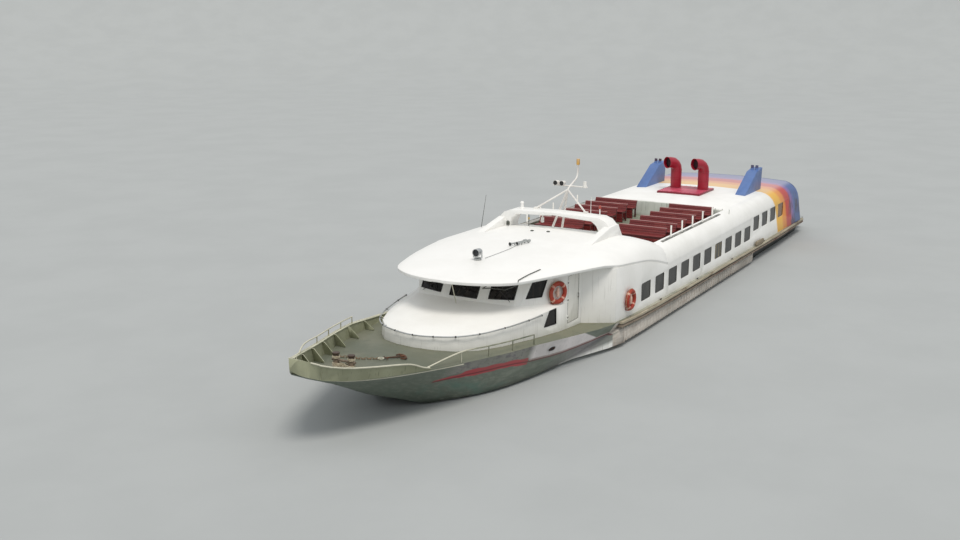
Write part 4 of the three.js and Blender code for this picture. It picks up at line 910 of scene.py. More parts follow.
@dataclass
class Shipyard:
    """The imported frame, and what every sub-assembly needs from it."""

    frame: dict
    made: int = 0
    _surfaces: dict = field(default_factory=dict)

    def node(self, name: str) -> bpy.types.Object:
        """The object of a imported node."""
        return self.frame["nodes"][name]

    def body_of(self, name: str) -> str:
        """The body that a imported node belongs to."""
        bodies = self.frame["record"]["behaviour"]["bodies"]
        return next(body for body, nodes in bodies.items() if name in nodes)

    def slot_of(self, name: str) -> str:
        """The record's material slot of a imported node."""
        return next(part["material_slot"] for part in self.frame["record"]["subparts"]
                    if part["node"] == name)

    def surface(self, name: str) -> BVHTree:
        """A node's faces, to place pieces on them."""
        if name not in self._surfaces:
            mesh = self.node(name).data
            self._surfaces[name] = BVHTree.FromPolygons([v.co.copy() for v in mesh.vertices],
                                                        [tuple(p.vertices) for p in mesh.polygons])
        return self._surfaces[name]

    def below(self, name: str, x: float, y: float, start: float = 9.0) -> Vector:
        """The highest point of a node under (x, y, start)."""
        point = self.surface(name).ray_cast(Vector((x, y, start)), -UP)[0]
        if point is None:
            raise ValueError(f"nothing of {name} lies under ({x}, {y})")
        return point

    def beside(self, name: str, x: float, z: float, side: Side) -> tuple[Vector, Vector]:
        """The outermost point of a node on one side at (x, z), and its normal."""
        start = Vector((x, 9.0 * side.value, z))
        point, normal, _, _ = self.surface(name).ray_cast(start, Vector((0, -side.value, 0)))
        if point is None:
            raise ValueError(f"nothing of {name} lies beside ({x}, {z})")
        return point, normal if normal.y * side.value > 0 else -normal

    def launch(self, name: str, shape: Union[Form, bpy.types.Mesh], finish: Optional[Finish],
               slot: str, body: str = "boat", sharp: float = 35.0,
               bevel: float = 0.0) -> bpy.types.Object:
        """Makes a shape a finished piece of the boat.

        Args:
            name: The piece's name.
            shape: Its form or mesh, in place.
            finish: Its finish, or None for a mesh that has one.
            slot: The record's material slot; not used.
            body: The body that it rides on.
            sharp: Edges bent by more degrees than this stay sharp.
            bevel: Width of the rounding along its sharp edges, in metres.

        Returns:
            The piece.
        """
        mesh = shape.data(name) if isinstance(shape, Form) else shape
        piece = bpy.data.objects.new(name, mesh)
        bpy.context.scene.collection.objects.link(piece)
        if finish is not None:
            mesh.materials.clear()
            mesh.materials.append(dressed(finish))
        if bevel > 0:
            rounding = piece.modifiers.new("rounding", "BEVEL")
            rounding.width, rounding.segments, rounding.limit_method = bevel, 2, "ANGLE"
            rounding.angle_limit = math.radians(sharp)
            baked(piece)
        piece.data.shade_smooth()
        piece.data.set_sharp_from_angle(angle=math.radians(sharp))
        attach(piece, body)
        self.made += 1
        LOG.info("%s: %d faces on %s", name, len(piece.data.polygons), body)
        return piece

    def paint(self, finish: Finish, *names: str) -> None:
        """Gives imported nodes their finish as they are."""
        for name in names:
            data = self.node(name).data
            data.materials.clear()
            data.materials.append(dressed(finish))
            LOG.info("%s: finished in %s", name, finish.name)

    def skin(self, name: str, finish: Finish, bevel: float = 0.0,
             sharp: float = 32.0) -> bpy.types.Object:
        """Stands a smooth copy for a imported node, of the same shape with its edges eased.

        Args:
            name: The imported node.
            finish: Its finish.
            bevel: Width of the rounding along its sharp edges.
            sharp: Edges bent by more degrees than this stay sharp.

        Returns:
            The piece that stands for the node.
        """
        work = bmesh.new()
        work.from_mesh(self.node(name).data)
        bmesh.ops.remove_doubles(work, verts=work.verts, dist=2e-5)
        bmesh.ops.dissolve_limit(work, angle_limit=math.radians(0.6), verts=work.verts,
                                 edges=work.edges)
        mesh = bpy.data.meshes.new(f"{name}_skin")
        work.to_mesh(mesh)
        work.free()
        piece = self.launch(f"{name}_skin", mesh, finish, self.slot_of(name), self.body_of(name),
                            sharp, bevel)
        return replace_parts(piece, name)


class Growth(Tree):
    """A Geometry Nodes tree with named inputs, run on seed points and kept as a plain mesh."""

    KINDS = {float: "NodeSocketFloat", int: "NodeSocketInt", tuple: "NodeSocketVector"}

    def __init__(self, name: str, inputs: dict[str, Any]) -> None:
        """Starts a tree.

        Args:
            name: Name of the tree.
            inputs: Each named input with its value, whose type is the socket's.
        """
        self.tree = bpy.data.node_groups.new(name, "GeometryNodeTree")
        self.values = inputs
        face = self.tree.interface
        face.new_socket("Geometry", in_out="INPUT", socket_type="NodeSocketGeometry")
        self.keys = {}
        for key, value in inputs.items():
            socket = face.new_socket(key, in_out="INPUT", socket_type=self.KINDS[type(value)])
            self.keys[key] = socket.identifier
        face.new_socket("Geometry", in_out="OUTPUT", socket_type="NodeSocketGeometry")
        entry = self.tree.nodes.new("NodeGroupInput")
        self.seeds = entry.outputs["Geometry"]
        self.given = {key: entry.outputs[key] for key in inputs}

    def run(self, shape: Socket, finish: Finish, seeds: Sequence[Sequence[float]] = ((0, 0, 0),),
            facing: Optional[Sequence[Vector]] = None, sizes: Optional[Sequence[Vector]] = None,
            joined: bool = False) -> bpy.types.Mesh:
        """Ends the tree and runs it.

        Args:
            shape: The geometry that the tree has made.
            finish: The finish of the result.
            seeds: Points that the tree grows from.
            facing: The direction of each seed, read as the attribute "facing".
            sizes: The size of each seed's copy, read as the attribute "size".
            joined: Whether the seeds are joined in a line.

        Returns:
            The plain mesh.
        """
        real = self.add("GeometryNodeRealizeInstances", {0: shape})
        done = self.add("GeometryNodeSetMaterial", {0: real, "Material": dressed(finish)})
        self.add("NodeGroupOutput", {0: done})
        edges = [(i, i + 1) for i in range(len(seeds) - 1)] if joined else []
        mesh = bpy.data.meshes.new(self.tree.name)
        mesh.from_pydata([tuple(p) for p in seeds], edges, [])
        for key, vectors in (("facing", facing), ("size", sizes)):
            if vectors is not None:
                store = mesh.attributes.new(key, "FLOAT_VECTOR", "POINT")
                store.data.foreach_set("vector", [c for vector in vectors for c in vector])
        holder = bpy.data.objects.new(self.tree.name, mesh)
        bpy.context.scene.collection.objects.link(holder)
        grower = holder.modifiers.new("growth", "NODES")
        grower.node_group = self.tree
        for key, value in self.values.items():
            grower[self.keys[key]] = value
        seen = bpy.context.evaluated_depsgraph_get()
        seen.update()
        grown = bpy.data.meshes.new_from_object(holder.evaluated_get(seen))
        bpy.data.objects.remove(holder)
        return grown

    def spread(self, piece: Socket, finish: Finish, points: Sequence[Sequence[float]],
               facing: Optional[Sequence[Vector]] = None, sizes: Optional[Sequence[Vector]] = None,
               **turned: str) -> bpy.types.Mesh:
        """Stands a copy of a piece on every point, and runs the tree.

        Args:
            piece: What is copied.
            finish: The finish of the copies.
            points: Where they stand.
            facing: Which way each copy looks.
            sizes: How much larger each copy is than the piece, along each axis.
            turned: The axis of the piece that looks that way, and the one that it turns about.

        Returns:
            The plain mesh.
        """
        inputs = {"Points": self.seeds, "Instance": piece}
        if facing is not None:
            toward = self.add("GeometryNodeInputNamedAttribute", {"Name": "facing"},
                              data_type="FLOAT_VECTOR")
            inputs["Rotation"] = self.add("FunctionNodeAlignRotationToVector", {"Vector": toward},
                                          **turned)
        if sizes is not None:
            inputs["Scale"] = self.add("GeometryNodeInputNamedAttribute", {"Name": "size"},
                                       data_type="FLOAT_VECTOR")
        return self.run(self.add("GeometryNodeInstanceOnPoints", inputs), finish, points, facing,
                        sizes)


def studs(finish: Finish, points: Sequence[Vector], facing: Sequence[Vector], radius: float,
          height: float = 0.012, sides: int = 6) -> bpy.types.Mesh:
    """Rivets or bolt heads on a surface.

    Args:
        finish: Their finish.
        points: Where they sit.
        facing: Which way each stands.
        radius: Radius of a head.
        height: Height of a head.
        sides: Sides of a head.

    Returns:
        One mesh with all of them.
    """
    growth = Growth("bolt_heads", {"Radius": radius, "Height": height, "Sides": sides})
    head = growth.add("GeometryNodeMeshCone",
                      {"Vertices": growth.given["Sides"], "Depth": growth.given["Height"],
                       "Radius Bottom": growth.given["Radius"], "Radius Top": radius * 0.7})
    return growth.spread(head, finish, points, facing, axis="Z")


def beads(finish: Finish, points: Sequence[Vector], radius: float) -> bpy.types.Mesh:
    """Round knots or ball fittings, such as the clamps of a rail.

    Args:
        finish: Their finish.
        points: Their middles.
        radius: Their radius.

    Returns:
        One mesh with all of them.
    """
    growth = Growth("beads", {"Radius": radius})
    ball = growth.add("GeometryNodeMeshIcoSphere",
                      {"Radius": growth.given["Radius"], "Subdivisions": 2})
    return growth.spread(ball, finish, points)


def battens(finish: Finish, points: Sequence[Vector], facing: Sequence[Vector],
            sizes: Sequence[Vector]) -> bpy.types.Mesh:
    """Upright battens on a wall.

    Args:
        finish: Their finish.
        points: Their middles, on the wall.
        facing: Which way the wall looks at each.
        sizes: How far each stands out, and its width and height.

    Returns:
        One mesh with all of them.
    """
    growth = Growth("battens", {"Size": (1.0, 1.0, 1.0)})
    block = growth.add("GeometryNodeMeshCube", {"Size": growth.given["Size"]})
    return growth.spread(block, finish, points, facing, sizes, axis="X", pivot_axis="Z")


def chain(finish: Finish, path: Sequence[Sequence[float]], pitch: float,
          wire: float) -> bpy.types.Mesh:
    """A chain along a path, each link turned across the one before it.

    Args:
        finish: Its finish.
        path: Points along its middle.
        pitch: Distance from link to link.
        wire: Radius of a link's wire.

    Returns:
        One mesh with all its links.
    """
    growth = Growth("chain", {"Pitch": pitch, "Wire": wire})
    ring = growth.add("GeometryNodeCurvePrimitiveCircle",
                      {"Resolution": 16, "Radius": pitch * 0.62}, mode="RADIUS")
    ring = growth.add("GeometryNodeTransform",
                      {"Geometry": ring, "Scale": (0.6, 1.0, 1.0), "Rotation": (math.pi / 2, 0, 0)})
    round_wire = growth.add("GeometryNodeCurvePrimitiveCircle",
                            {"Resolution": 8, "Radius": growth.given["Wire"]}, mode="RADIUS")
    link = growth.add("GeometryNodeCurveToMesh", {"Curve": ring, "Profile Curve": round_wire})
    curve = growth.add("GeometryNodeMeshToCurve", {0: growth.seeds})
    even = growth.add("GeometryNodeCurveToPoints",
                      {"Curve": curve, "Length": growth.given["Pitch"]}, mode="LENGTH").node
    index = growth.add("GeometryNodeInputIndex")
    odd = growth.add("ShaderNodeMath", {0: index, 1: 2.0}, operation="MODULO")
    quarter = growth.add("ShaderNodeMath", {0: odd, 1: math.pi / 2}, operation="MULTIPLY")
    roll = growth.add("ShaderNodeCombineXYZ", {2: quarter})
    roll = growth.add("FunctionNodeEulerToRotation", {0: roll})
    turn = growth.add("FunctionNodeRotateRotation",
                      {"Rotation": even.outputs["Rotation"], "Rotate By": roll},
                      rotation_space="LOCAL")
    shape = growth.add("GeometryNodeInstanceOnPoints",
                       {"Points": even.outputs["Points"], "Instance": link, "Rotation": turn})
    return growth.run(shape, finish, path, joined=True)


def laid_rope(finish: Finish, path: Sequence[Sequence[float]], diameter: float) -> bpy.types.Mesh:
    """A rope of three strands twisted along a path.

    Args:
        finish: Its finish.
        path: Points along its middle.
        diameter: Its diameter.

    Returns:
        The rope's mesh.
    """
    lay = math.tau / (diameter * 3.5)
    growth = Growth("laid_rope", {"Radius": diameter / 2, "Step": diameter * 0.45, "Lay": lay})
    curve = growth.add("GeometryNodeMeshToCurve", {0: growth.seeds})
    even = growth.add("GeometryNodeResampleCurve", {"Curve": curve, "Length": growth.given["Step"]},
                      mode="LENGTH")
    along = growth.add("GeometryNodeSplineParameter", out="Length")
    twist = growth.add("ShaderNodeMath", {0: along, 1: growth.given["Lay"]}, operation="MULTIPLY")
    turned = growth.add("GeometryNodeSetCurveTilt", {"Curve": even, "Tilt": twist})
    lobes = growth.add("GeometryNodeCurveStar",
                       {"Points": 3, "Inner Radius": diameter * 0.36,
                        "Outer Radius": growth.given["Radius"]})
    shape = growth.add("GeometryNodeCurveToMesh",
                       {"Curve": turned, "Profile Curve": lobes, "Fill Caps": True})
    return growth.run(shape, finish, path, joined=True)


# Sub-assemblies


@dataclass
class Studio:
    """Camera, floor and light."""

    # Focal length and sensor width in millimetres, and the far limit of view in metres
    lens: float = 41.7
    sensor: float = 36.0
    far: float = 500.0
    eye: tuple = (36.91, 16.39, 10.27)
    turn: tuple = (76.95, 0.0, 120.26)
    # The sky's colour and strength, and the sun's colour, strength, angular size and turn
    sky: tuple = ("#F2F5F8", 0.76)
    sun: tuple = ("#FFFAF2", 1.65, 22, (-18, 20, 0))
    # Radius and height of the floor, which curves up far out so that no horizon shows
    floor: tuple = ((0, 0), (110, 0), (130, 1.5), (150, 7), (165, 16), (175, 28), (180, 44),
                    (182, 44), (182, -1), (0, -1))

    def build(self) -> None:
        """Places the camera at the photograph's viewing angle, and the light."""
        data = bpy.data.cameras.new("camera")
        data.lens, data.sensor_width, data.clip_end = self.lens, self.sensor, self.far
        camera = bpy.data.objects.new("camera", data)
        camera.location = self.eye
        camera.rotation_euler = [math.radians(t) for t in self.turn]
        bpy.context.scene.collection.objects.link(camera)
        bpy.context.scene.camera = camera
        self.lay_floor()
        self.hang_lights()

    def lay_floor(self) -> None:
        """Lays the pale floor at the waterline."""
        mesh = Form().lathe(self.floor, (0, 0, 0), UP, 96).data("floor")
        floor = bpy.data.objects.new("floor", mesh)
        coats = Coats("matt_backdrop", "#B0B3B3", 0.9)
        coats.coat("#ADB0B0", coats.patches(4.0))
        mesh.materials.append(coats.finish(Specular_IOR_Level=0.1))
        mesh.shade_smooth()
        bpy.context.scene.collection.objects.link(floor)

    def hang_lights(self) -> None:
        """Lights the scene as an overcast sky with a soft high sun."""
        bpy.context.scene.view_settings.view_transform = "Standard"
        world = bpy.data.worlds.new("overcast")
        world.use_nodes = True
        background = world.node_tree.nodes["Background"].inputs
        background[0].default_value, background[1].default_value = linear(self.sky[0]), self.sky[1]
        bpy.context.scene.world = world
        colour, strength, size, turn = self.sun
        sun = bpy.data.lights.new("sky_window", "SUN")
        sun.energy, sun.angle, sun.color = strength, math.radians(size), linear(colour)[:3]
        holder = bpy.data.objects.new("sky_window", sun)
        holder.rotation_euler = [math.radians(t) for t in turn]
        bpy.context.scene.collection.objects.link(holder)


@dataclass
class Hull:
    """The hull with its rub rails, mouldings, battens and cleats."""

    # The rub rail's bolts: radius, pitch, depth under the deck edge, and how far they are let in
    bolts: tuple = (0.022, 0.6, 0.17, 0.0085)
    # The oval vent: x and z of its middle, half its length and height, and the step of its slats
    vent: tuple = (9.41, 0.85)
    vent_half: tuple = (0.17, 0.085)
    slat_step: float = 0.022
    # First and last x of the moulding and of the battens, with their steps
    moulding: tuple = (16.8, 13.05, 0.15)
    battens: tuple = (-7.9, 5.6, 0.27)
    # Foot of the battens, how far under the deck they end, and how thick and wide they are
    batten: tuple = (0.14, 0.27, 0.016, 0.034)
    # The x of each cleat
    cleats: tuple = (-9.6, -5.25, -1.2, 2.45)
    # Opposite corners of the port fender board
    fender: tuple = ((-9.3, 3.36, 0.74), (-8.3, 3.44, 0.9))
    # The eye on the stem: x, lift of its middle, half its length and height, radius of its wire
    eye: tuple = (17.44, 0.03, 0.036, 0.04, 0.008)

    def build(self, yard: Shipyard) -> None:
        """Finishes the hull and rails, and adds what is fitted on them."""
        yard.skin("hull", HULL, sharp=38)
        for side in Side:
            yard.skin(f"rub_rail_{side.suffix}", RUB, bevel=0.008)
            for fit in (self.bolt_rail, self.add_vent, self.edge_deck, self.nail_battens,
                        self.fit_cleats):
                fit(yard, side)
            board = Form().block(*(side.mirror(corner) for corner in self.fender))
            yard.launch(f"fender_board_{side.suffix}", board, BEIGE_BOARD, "rub_rubber",
                        bevel=0.012)
        x, lift, long, high, wire = self.eye
        ring = ellipse(yard.below("bulwark", x, 0.0) + UP * lift, AHEAD * long, UP * high, 20)
        yard.launch("bow_eye", Form().tube(ring, wire, 8, True), CREAM, "rail_steel")

    def edge_deck(self, yard: Shipyard, side: Side) -> None:
        """Runs the half-round moulding along the deck edge of the foredeck."""
        start, end, step = self.moulding
        path = []
        for k in range(round((start - end) / step) + 1):
            x = start - k * step
            wide = yard.beside("hull", x, yard.below("hull", x, 0).z - 0.07, side)[0]
            deck = yard.below("hull", x, wide.y * 0.93).z
            point, normal = yard.beside("hull", x, deck - 0.03, side)
            path.append(point + normal * 0.004)
        yard.launch(f"deck_moulding_{side.suffix}", Form().tube(path, 0.016, 10), CREAM,
                    "bulwark_paint")

    def nail_battens(self, yard: Shipyard, side: Side) -> None:
        """Nails the upright battens over the strakes."""
        start, end, step = self.battens
        foot, drop, thick, wide = self.batten
        points, facing, sizes = [], [], []
        for k in range(int((end - start) / step) + 1):
            x = start + k * step
            top = yard.below("hull", x, 3.0 * side.value).z - drop
            point, normal = yard.beside("hull", x, (top + foot) / 2, side)
            points.append(point)
            facing.append(Vector((normal.x, normal.y, 0)).normalized())
            sizes.append(Vector((thick, wide, top - foot)))
        mesh = battens(STRAKE, points, facing, sizes)
        yard.launch(f"strake_battens_{side.suffix}", mesh, None, "hull_paint")

    def fit_cleats(self, yard: Shipyard, side: Side) -> None:
        """Fits the mooring cleats on the side deck."""
        form = Form()
        for x in self.cleats:
            foot = yard.below("hull", x, 3.35 * side.value)
            form.block(foot - Vector((0.04, 0.018, 0.002)), foot + Vector((0.04, 0.018, 0.03)))
            horns = [foot + Vector((dx, 0, 0.036 + 0.012 * abs(dx) / 0.09))
                     for dx in (-0.09, -0.04, 0.04, 0.09)]
            form.tube(horns, (0.007, 0.013, 0.013, 0.007), 10)
        yard.launch(f"side_cleats_{side.suffix}", form, IRON, "iron", bevel=0.003)

    def bolt_rail(self, yard: Shipyard, side: Side) -> None:
        """Adds the bolt heads along the lower strake of a rub rail."""
        rail, (radius, pitch, drop, sunk) = f"rub_rail_{side.suffix}", self.bolts
        low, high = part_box(rail)
        points, facing = [], []
        x = low.x + 0.4
        while x < high.x - 0.3:
            edge = abs(high.y if side is Side.PORT else low.y) * side.value
            deck = yard.below("hull", x, edge - 0.4 * side.value)
            point, normal = yard.beside(rail, x, deck.z - drop, side)
            points.append(point - normal * sunk)
            facing.append(normal)
            x += pitch
        yard.launch(f"{rail}_bolts", studs(IRON, points, facing, radius), None, "iron")

    def add_vent(self, yard: Shipyard, side: Side) -> None:
        """Adds the oval vent in the white panel: a rim and a dark grille."""
        at, normal = yard.beside("hull", *self.vent, side)
        along = AHEAD - normal * normal.x
        up = normal.cross(along.normalized())
        long, high = self.vent_half
        oval = ellipse(at + normal * 0.004, along * long, up * high, 32)
        yard.launch(f"hull_vent_rim_{side.suffix}", Form().tube(oval, 0.012, 8, True), STEEL,
                    "rail_steel")
        slats = Form()
        for k in range(-3, 4):
            half = along * ((long - 0.01) * math.sqrt(1 - (k / 3.6) ** 2))
            middle = at + up * (k * self.slat_step) + normal * 0.006
            slats.tube([middle - half, middle + half], 0.008, 6)
        yard.launch(f"hull_vent_grille_{side.suffix}", slats, IRON, "iron")


@dataclass
class CabinSides:
    """The long cabin sides with their window bands."""

    # The windows: x of the first, pitch, width, height and radius of the corners
    first: float = 3.7
    pitch: float = 1.22
    wide: float = 0.8
    high: float = 0.59
    corner: float = 0.06
    # Rows: name, first window, the one after the last, level, and how far the wall is let in there
    rows: tuple = (("low", 0, 10, 1.41, 0.0), ("raised", 10, 14, 1.67, 0.012))
    # How far out the wall's face stands
    face: float = 3.3
    # Thickness of a pane and its set-back, and thickness, depth and set-back of a frame
    pane: tuple = (0.012, 0.016)
    bar: tuple = (0.012, 0.05, 0.026)

    def build(self, yard: Shipyard) -> None:
        """Finishes the sides and glazes them."""
        for side in Side:
            yard.skin(f"cabin_side_{side.suffix}", BANDED, bevel=0.006)
            yard.skin(f"front_bulkhead_{side.suffix}", HOUSE_WHITE, bevel=0.01)
            for row, start, end, level, inset in self.rows:
                face = (self.face - inset) * side.value
                seeds = [(self.first - i * self.pitch, face, level) for i in range(start, end)]
                yard.launch(f"window_panes_{row}_{side.suffix}", self.glazing(seeds, True, side),
                            None, "iron")
                yard.launch(f"window_frames_{row}_{side.suffix}", self.glazing(seeds, False, side),
                            None, "white_paint")

    def glazing(self, seeds: Sequence[Sequence[float]], pane: bool, side: Side) -> bpy.types.Mesh:
        """Grows one row of panes or of their frames.

        Args:
            seeds: The middles of the windows, on the cabin's outer face.
            pane: Whether to make the panes, or else the frames.
            side: The side that they are on.

        Returns:
            One mesh for the row.
        """
        growth = Growth("window_panes" if pane else "window_frames",
                        {"Width": self.wide, "Height": self.high, "Corner": self.corner})
        hole = growth.add("GeometryNodeCurvePrimitiveQuadrilateral",
                          {"Width": growth.given["Width"], "Height": growth.given["Height"]},
                          mode="RECTANGLE")
        hole = growth.add("GeometryNodeFilletCurve",
                          {"Curve": hole, "Radius": growth.given["Corner"], "Count": 5},
                          mode="POLY")
        if pane:
            flat = growth.add("GeometryNodeFillCurve", {"Curve": hole}, mode="NGONS")
            shape = growth.add("GeometryNodeExtrudeMesh",
                               {"Mesh": flat, "Offset Scale": self.pane[0]})
            back = growth.add("GeometryNodeFlipFaces", {"Mesh": flat})
            shape = growth.add("GeometryNodeJoinGeometry", {0: shape})
            growth.tree.links.new(back, shape.node.inputs[0])
        else:
            bar = growth.add("GeometryNodeCurvePrimitiveQuadrilateral",
                             {"Width": self.bar[0], "Height": self.bar[1]}, mode="RECTANGLE")
            shape = growth.add("GeometryNodeCurveToMesh", {"Curve": hole, "Profile Curve": bar})
        depth = -side.value * (self.pane if pane else self.bar)[-1]
        stand = growth.add("GeometryNodeTransform",
                           {"Geometry": shape, "Rotation": (math.pi / 2, 0, 0),
                            "Translation": (0, depth, 0)})
        return growth.spread(stand, DARK_GLASS if pane else GASKET, seeds)


@dataclass
class Wheelhouse:
    """The wheelhouse under its visor roof, with its glazing and doors."""

    # Port half of the wall, aft corner round to the centreline, at its foot, the rim of the slope,
    # the foot of the windscreen and the roof line
    levels: tuple = (
        ((6.8, 2.44, 0.9), (7.87, 2.44, 0.9), (8.35, 2.43, 0.9), (9.7, 2.23, 0.9),
         (10.9, 1.94, 0.9), (11.7, 1.62, 0.9), (12.2, 1.18, 0.9), (12.43, 0.62, 0.9),
         (12.5, 0, 0.9)),
        ((6.8, 2.44, 1.83), (7.87, 2.44, 1.83), (8.35, 2.425, 1.825), (9.7, 2.225, 1.75),
         (10.85, 1.93, 1.69), (11.65, 1.6, 1.66), (12.13, 1.16, 1.64), (12.35, 0.61, 1.625),
         (12.42, 0, 1.62)),
        ((6.8, 2.44, 1.88), (7.87, 2.44, 1.88), (8.35, 2.242, 1.885), (8.9, 2.016, 1.94),
         (9.53, 1.756, 2.01), (9.69, 1.62, 2.02), (9.79, 0.9, 2.035), (9.87, 0.45, 2.045),
         (9.9, 0, 2.05)),
        ((6.8, 2.44, 3.15), (7.87, 2.44, 3.15), (8.2, 2.304, 3.15), (8.55, 2.16, 3.15),
         (8.9, 2.016, 3.15), (9.03, 1.62, 3.15), (9.13, 0.9, 3.15), (9.21, 0.45, 3.15),
         (9.24, 0, 3.15)))
    # Windows: corners of each hole, and the direction that it is cut along
    windows: tuple = (
        ("centre", ((9.85, -0.47, 2.146), (9.85, 0.47, 2.146), (9.47, 0.47, 2.79),
                    (9.47, -0.47, 2.79)), (0.86, 0, 0.51)),
        ("front", ((9.745, 0.815, 2.155), (9.605, 1.59, 2.19), (9.24, 1.6, 2.79),
                   (9.36, 0.82, 2.79)), (0.84, 0.15, 0.51)),
        ("side", ((9.334, 1.837, 2.188), (8.777, 2.066, 2.157), (8.53, 2.168, 2.8),
                  (9.02, 1.966, 2.8)), (0.38, 0.92, 0)),
        ("lower", ((8.505, 2.4, 1.79), (8.495, 2.4, 1.325), (9.095, 2.4, 1.345),
                   (8.825, 2.4, 1.775)), (0, 1, 0)))
    # The grab rail's clamps, port half: where their stubs leave the wall, the level of the first,
    # how much lower each next one is, and how far the rail stands off
    clamps: tuple = ((9.3, 2.284), (9.9, 2.18), (10.85, 1.935), (11.65, 1.605), (12.13, 1.16),
                     (12.355, 0.61), (12.425, 0))
    clamp_level: float = 1.76
    clamp_fall: float = 0.02
    rail_off: float = 0.07
    # Outline of the side door's gasket, port side
    gasket: tuple = ((7.04, 2.436, 1.17), (7.78, 2.436, 1.17), (7.78, 2.436, 2.6),
                     (7.04, 2.436, 2.6))
    # The wiper, port side: its arm and its blade, with how far each stands off the glass
    wiper_arm: tuple = ((9.7, 1.5, 2.14), (9.68, 1.36, 2.26), (9.64, 1.12, 2.42))
    wiper_blade: tuple = ((9.68, 1.0, 2.24), (9.62, 1.12, 2.42), (9.52, 1.26, 2.62))
    wiper_off: tuple = (0.022, 0.012)
    # Pipes under the visor: name, radius, route
    pipes: tuple = (("visor_pipe_centre", 0.014,
                     ((9.66, -0.38, 2.72), (9.95, -0.3, 2.72), (10, 0.06, 2.59), (10, 0.43, 2.58),
                      (10, 0.63, 2.69), (10.05, 0.8, 2.85), (10.1, 0.84, 2.93))),
                    ("visor_pipe_port", 0.014,
                     ((9.62, 0.7, 2.5), (9.97, 0.76, 2.5), (10, 1.03, 2.55), (10, 1.52, 2.56),
                      (10, 1.78, 2.68), (10.1, 1.95, 2.78), (10.19, 2.03, 2.88),
                      (10.12, 2.02, 2.94), (9.57, 2.04, 2.985), (8.91, 2.08, 3.01))))
    # Route of the strut from the slope up to the visor
    strut: tuple = ((10.14, -0.03, 1.98), (10.86, 0.28, 2.72), (11.0, 0.34, 2.86))
    _wall: Optional[BVHTree] = None

    def build(self, yard: Shipyard) -> None:
        """Finishes the wheelhouse and its roof, and glazes it."""
        yard.skin("wheelhouse", HOUSE_WHITE, bevel=0.012)
        yard.skin("wheelhouse_roof", WHITE, bevel=0.012)
        yard.skin("grab_rail", STEEL, sharp=40)
        points, faces = [], []
        for half in self.levels:
            points += [Vector(p) for p in half] + [Side.STBD.mirror(p) for p in half[-2::-1]]
        width = len(points) // len(self.levels)
        for row in range(len(self.levels) - 1):
            for k in range(width - 1):
                a = row * width + k
                faces.append((a, a + 1, a + 1 + width, a + width))
        self._wall = BVHTree.FromPolygons(points, faces)
        for name, corners, toward in self.windows:
            for side in Side if name != "centre" else (Side.PORT,):
                self.glaze(yard, name if name == "centre" else f"{name}_{side.suffix}",
                           [side.mirror(c) for c in corners], side.mirror(toward).normalized())
        for side in Side:
            door = f"side_door_{side.suffix}"
            yard.skin(door, DOOR_WHITE, bevel=0.006)
            gasket = Form().tube([side.mirror(corner) for corner in self.gasket], 0.005, 6, True)
            yard.launch(f"side_door_gasket_{side.suffix}", gasket, BLACK, "rub_rubber", door)
            self.wipe(yard, side)
        self.clamp_rail(yard)
        for name, radius, route in self.pipes:
            yard.launch(name, Form().tube(route, radius, 10), DARK_TRIM, "iron")
        yard.launch("visor_strut", Form().tube(self.strut, 0.013, 10), CREAM, "white_paint")

    def clamp_rail(self, yard: Shipyard) -> None:
        """Puts the dark clamps on the grab rail where its stubs meet it."""
        points, last = [], len(self.clamps) - 1
        for k, (x, y) in enumerate(self.clamps):
            before, after = self.clamps[max(k - 1, 0)], self.clamps[min(k + 1, last)]
            along = Vector((after[0] - before[0], after[1] - before[1], 0)).normalized()
            out = Vector((-along.y, along.x, 0)) if k < last else AHEAD
            at = Vector((x, y, self.clamp_level - self.clamp_fall * k)) + out * self.rail_off
            points += [at] if y == 0 else [at, Side.STBD.mirror(at)]
        yard.launch("grab_rail_clamps", beads(BLACK, points, 0.029), None, "iron")

    def wipe(self, yard: Shipyard, side: Side) -> None:
        """Parks a wiper across the foot of the front pane on one side."""
        toward = side.mirror(self.windows[1][2]).normalized()
        routes = []
        for route, off in zip((self.wiper_arm, self.wiper_blade), self.wiper_off):
            hits = [self.on_wall(side.mirror(at), toward) for at in route]
            routes.append([hit + normal * off for hit, normal in hits])
        arm, blade = routes
        wiper = Form().tube(arm, 0.007, 8).tube(blade, 0.008, 8)
        yard.launch(f"wiper_{side.suffix}", wiper, BLACK, "iron")

    def on_wall(self, point: Vector, toward: Vector) -> tuple[Vector, Vector]:
        """The place on the wall's outer face seen from a point, and its outward normal."""
        hit, normal, _, _ = self._wall.ray_cast(point + toward * 0.6, -toward)
        return hit, normal if normal.dot(toward) > 0 else -normal

    def glaze(self, yard: Shipyard, name: str, corners: Sequence[Vector], toward: Vector,
              steps: int = 8) -> None:
        """Sets a pane in its hole and a rubber round it.

        Args:
            yard: The shipyard.
            name: The window's name.
            corners: Its corners, in order.
            toward: The direction that its hole is cut along.
            steps: Points along each edge.
        """
        a, b, c, d = corners
        shares = [k / steps for k in range(steps + 1)]
        rows = []
        for v in shares:
            left, right = a.lerp(d, v), b.lerp(c, v)
            rows.append([self.on_wall(left.lerp(right, u), toward)[0] - toward * 0.012
                         for u in shares])
        pane = Form().sheet(rows, 0.01, -toward)
        yard.launch(f"pane_{name}", pane, HELM_GLASS, "iron")
        edge = []
        for start, end in zip(corners, (b, c, d, a)):
            edge += [self.on_wall(start.lerp(end, k / steps), toward)[0] for k in range(steps)]
        yard.launch(f"pane_rubber_{name}", Form().tube(edge, 0.014, 8, True), BLACK, "rub_rubber")


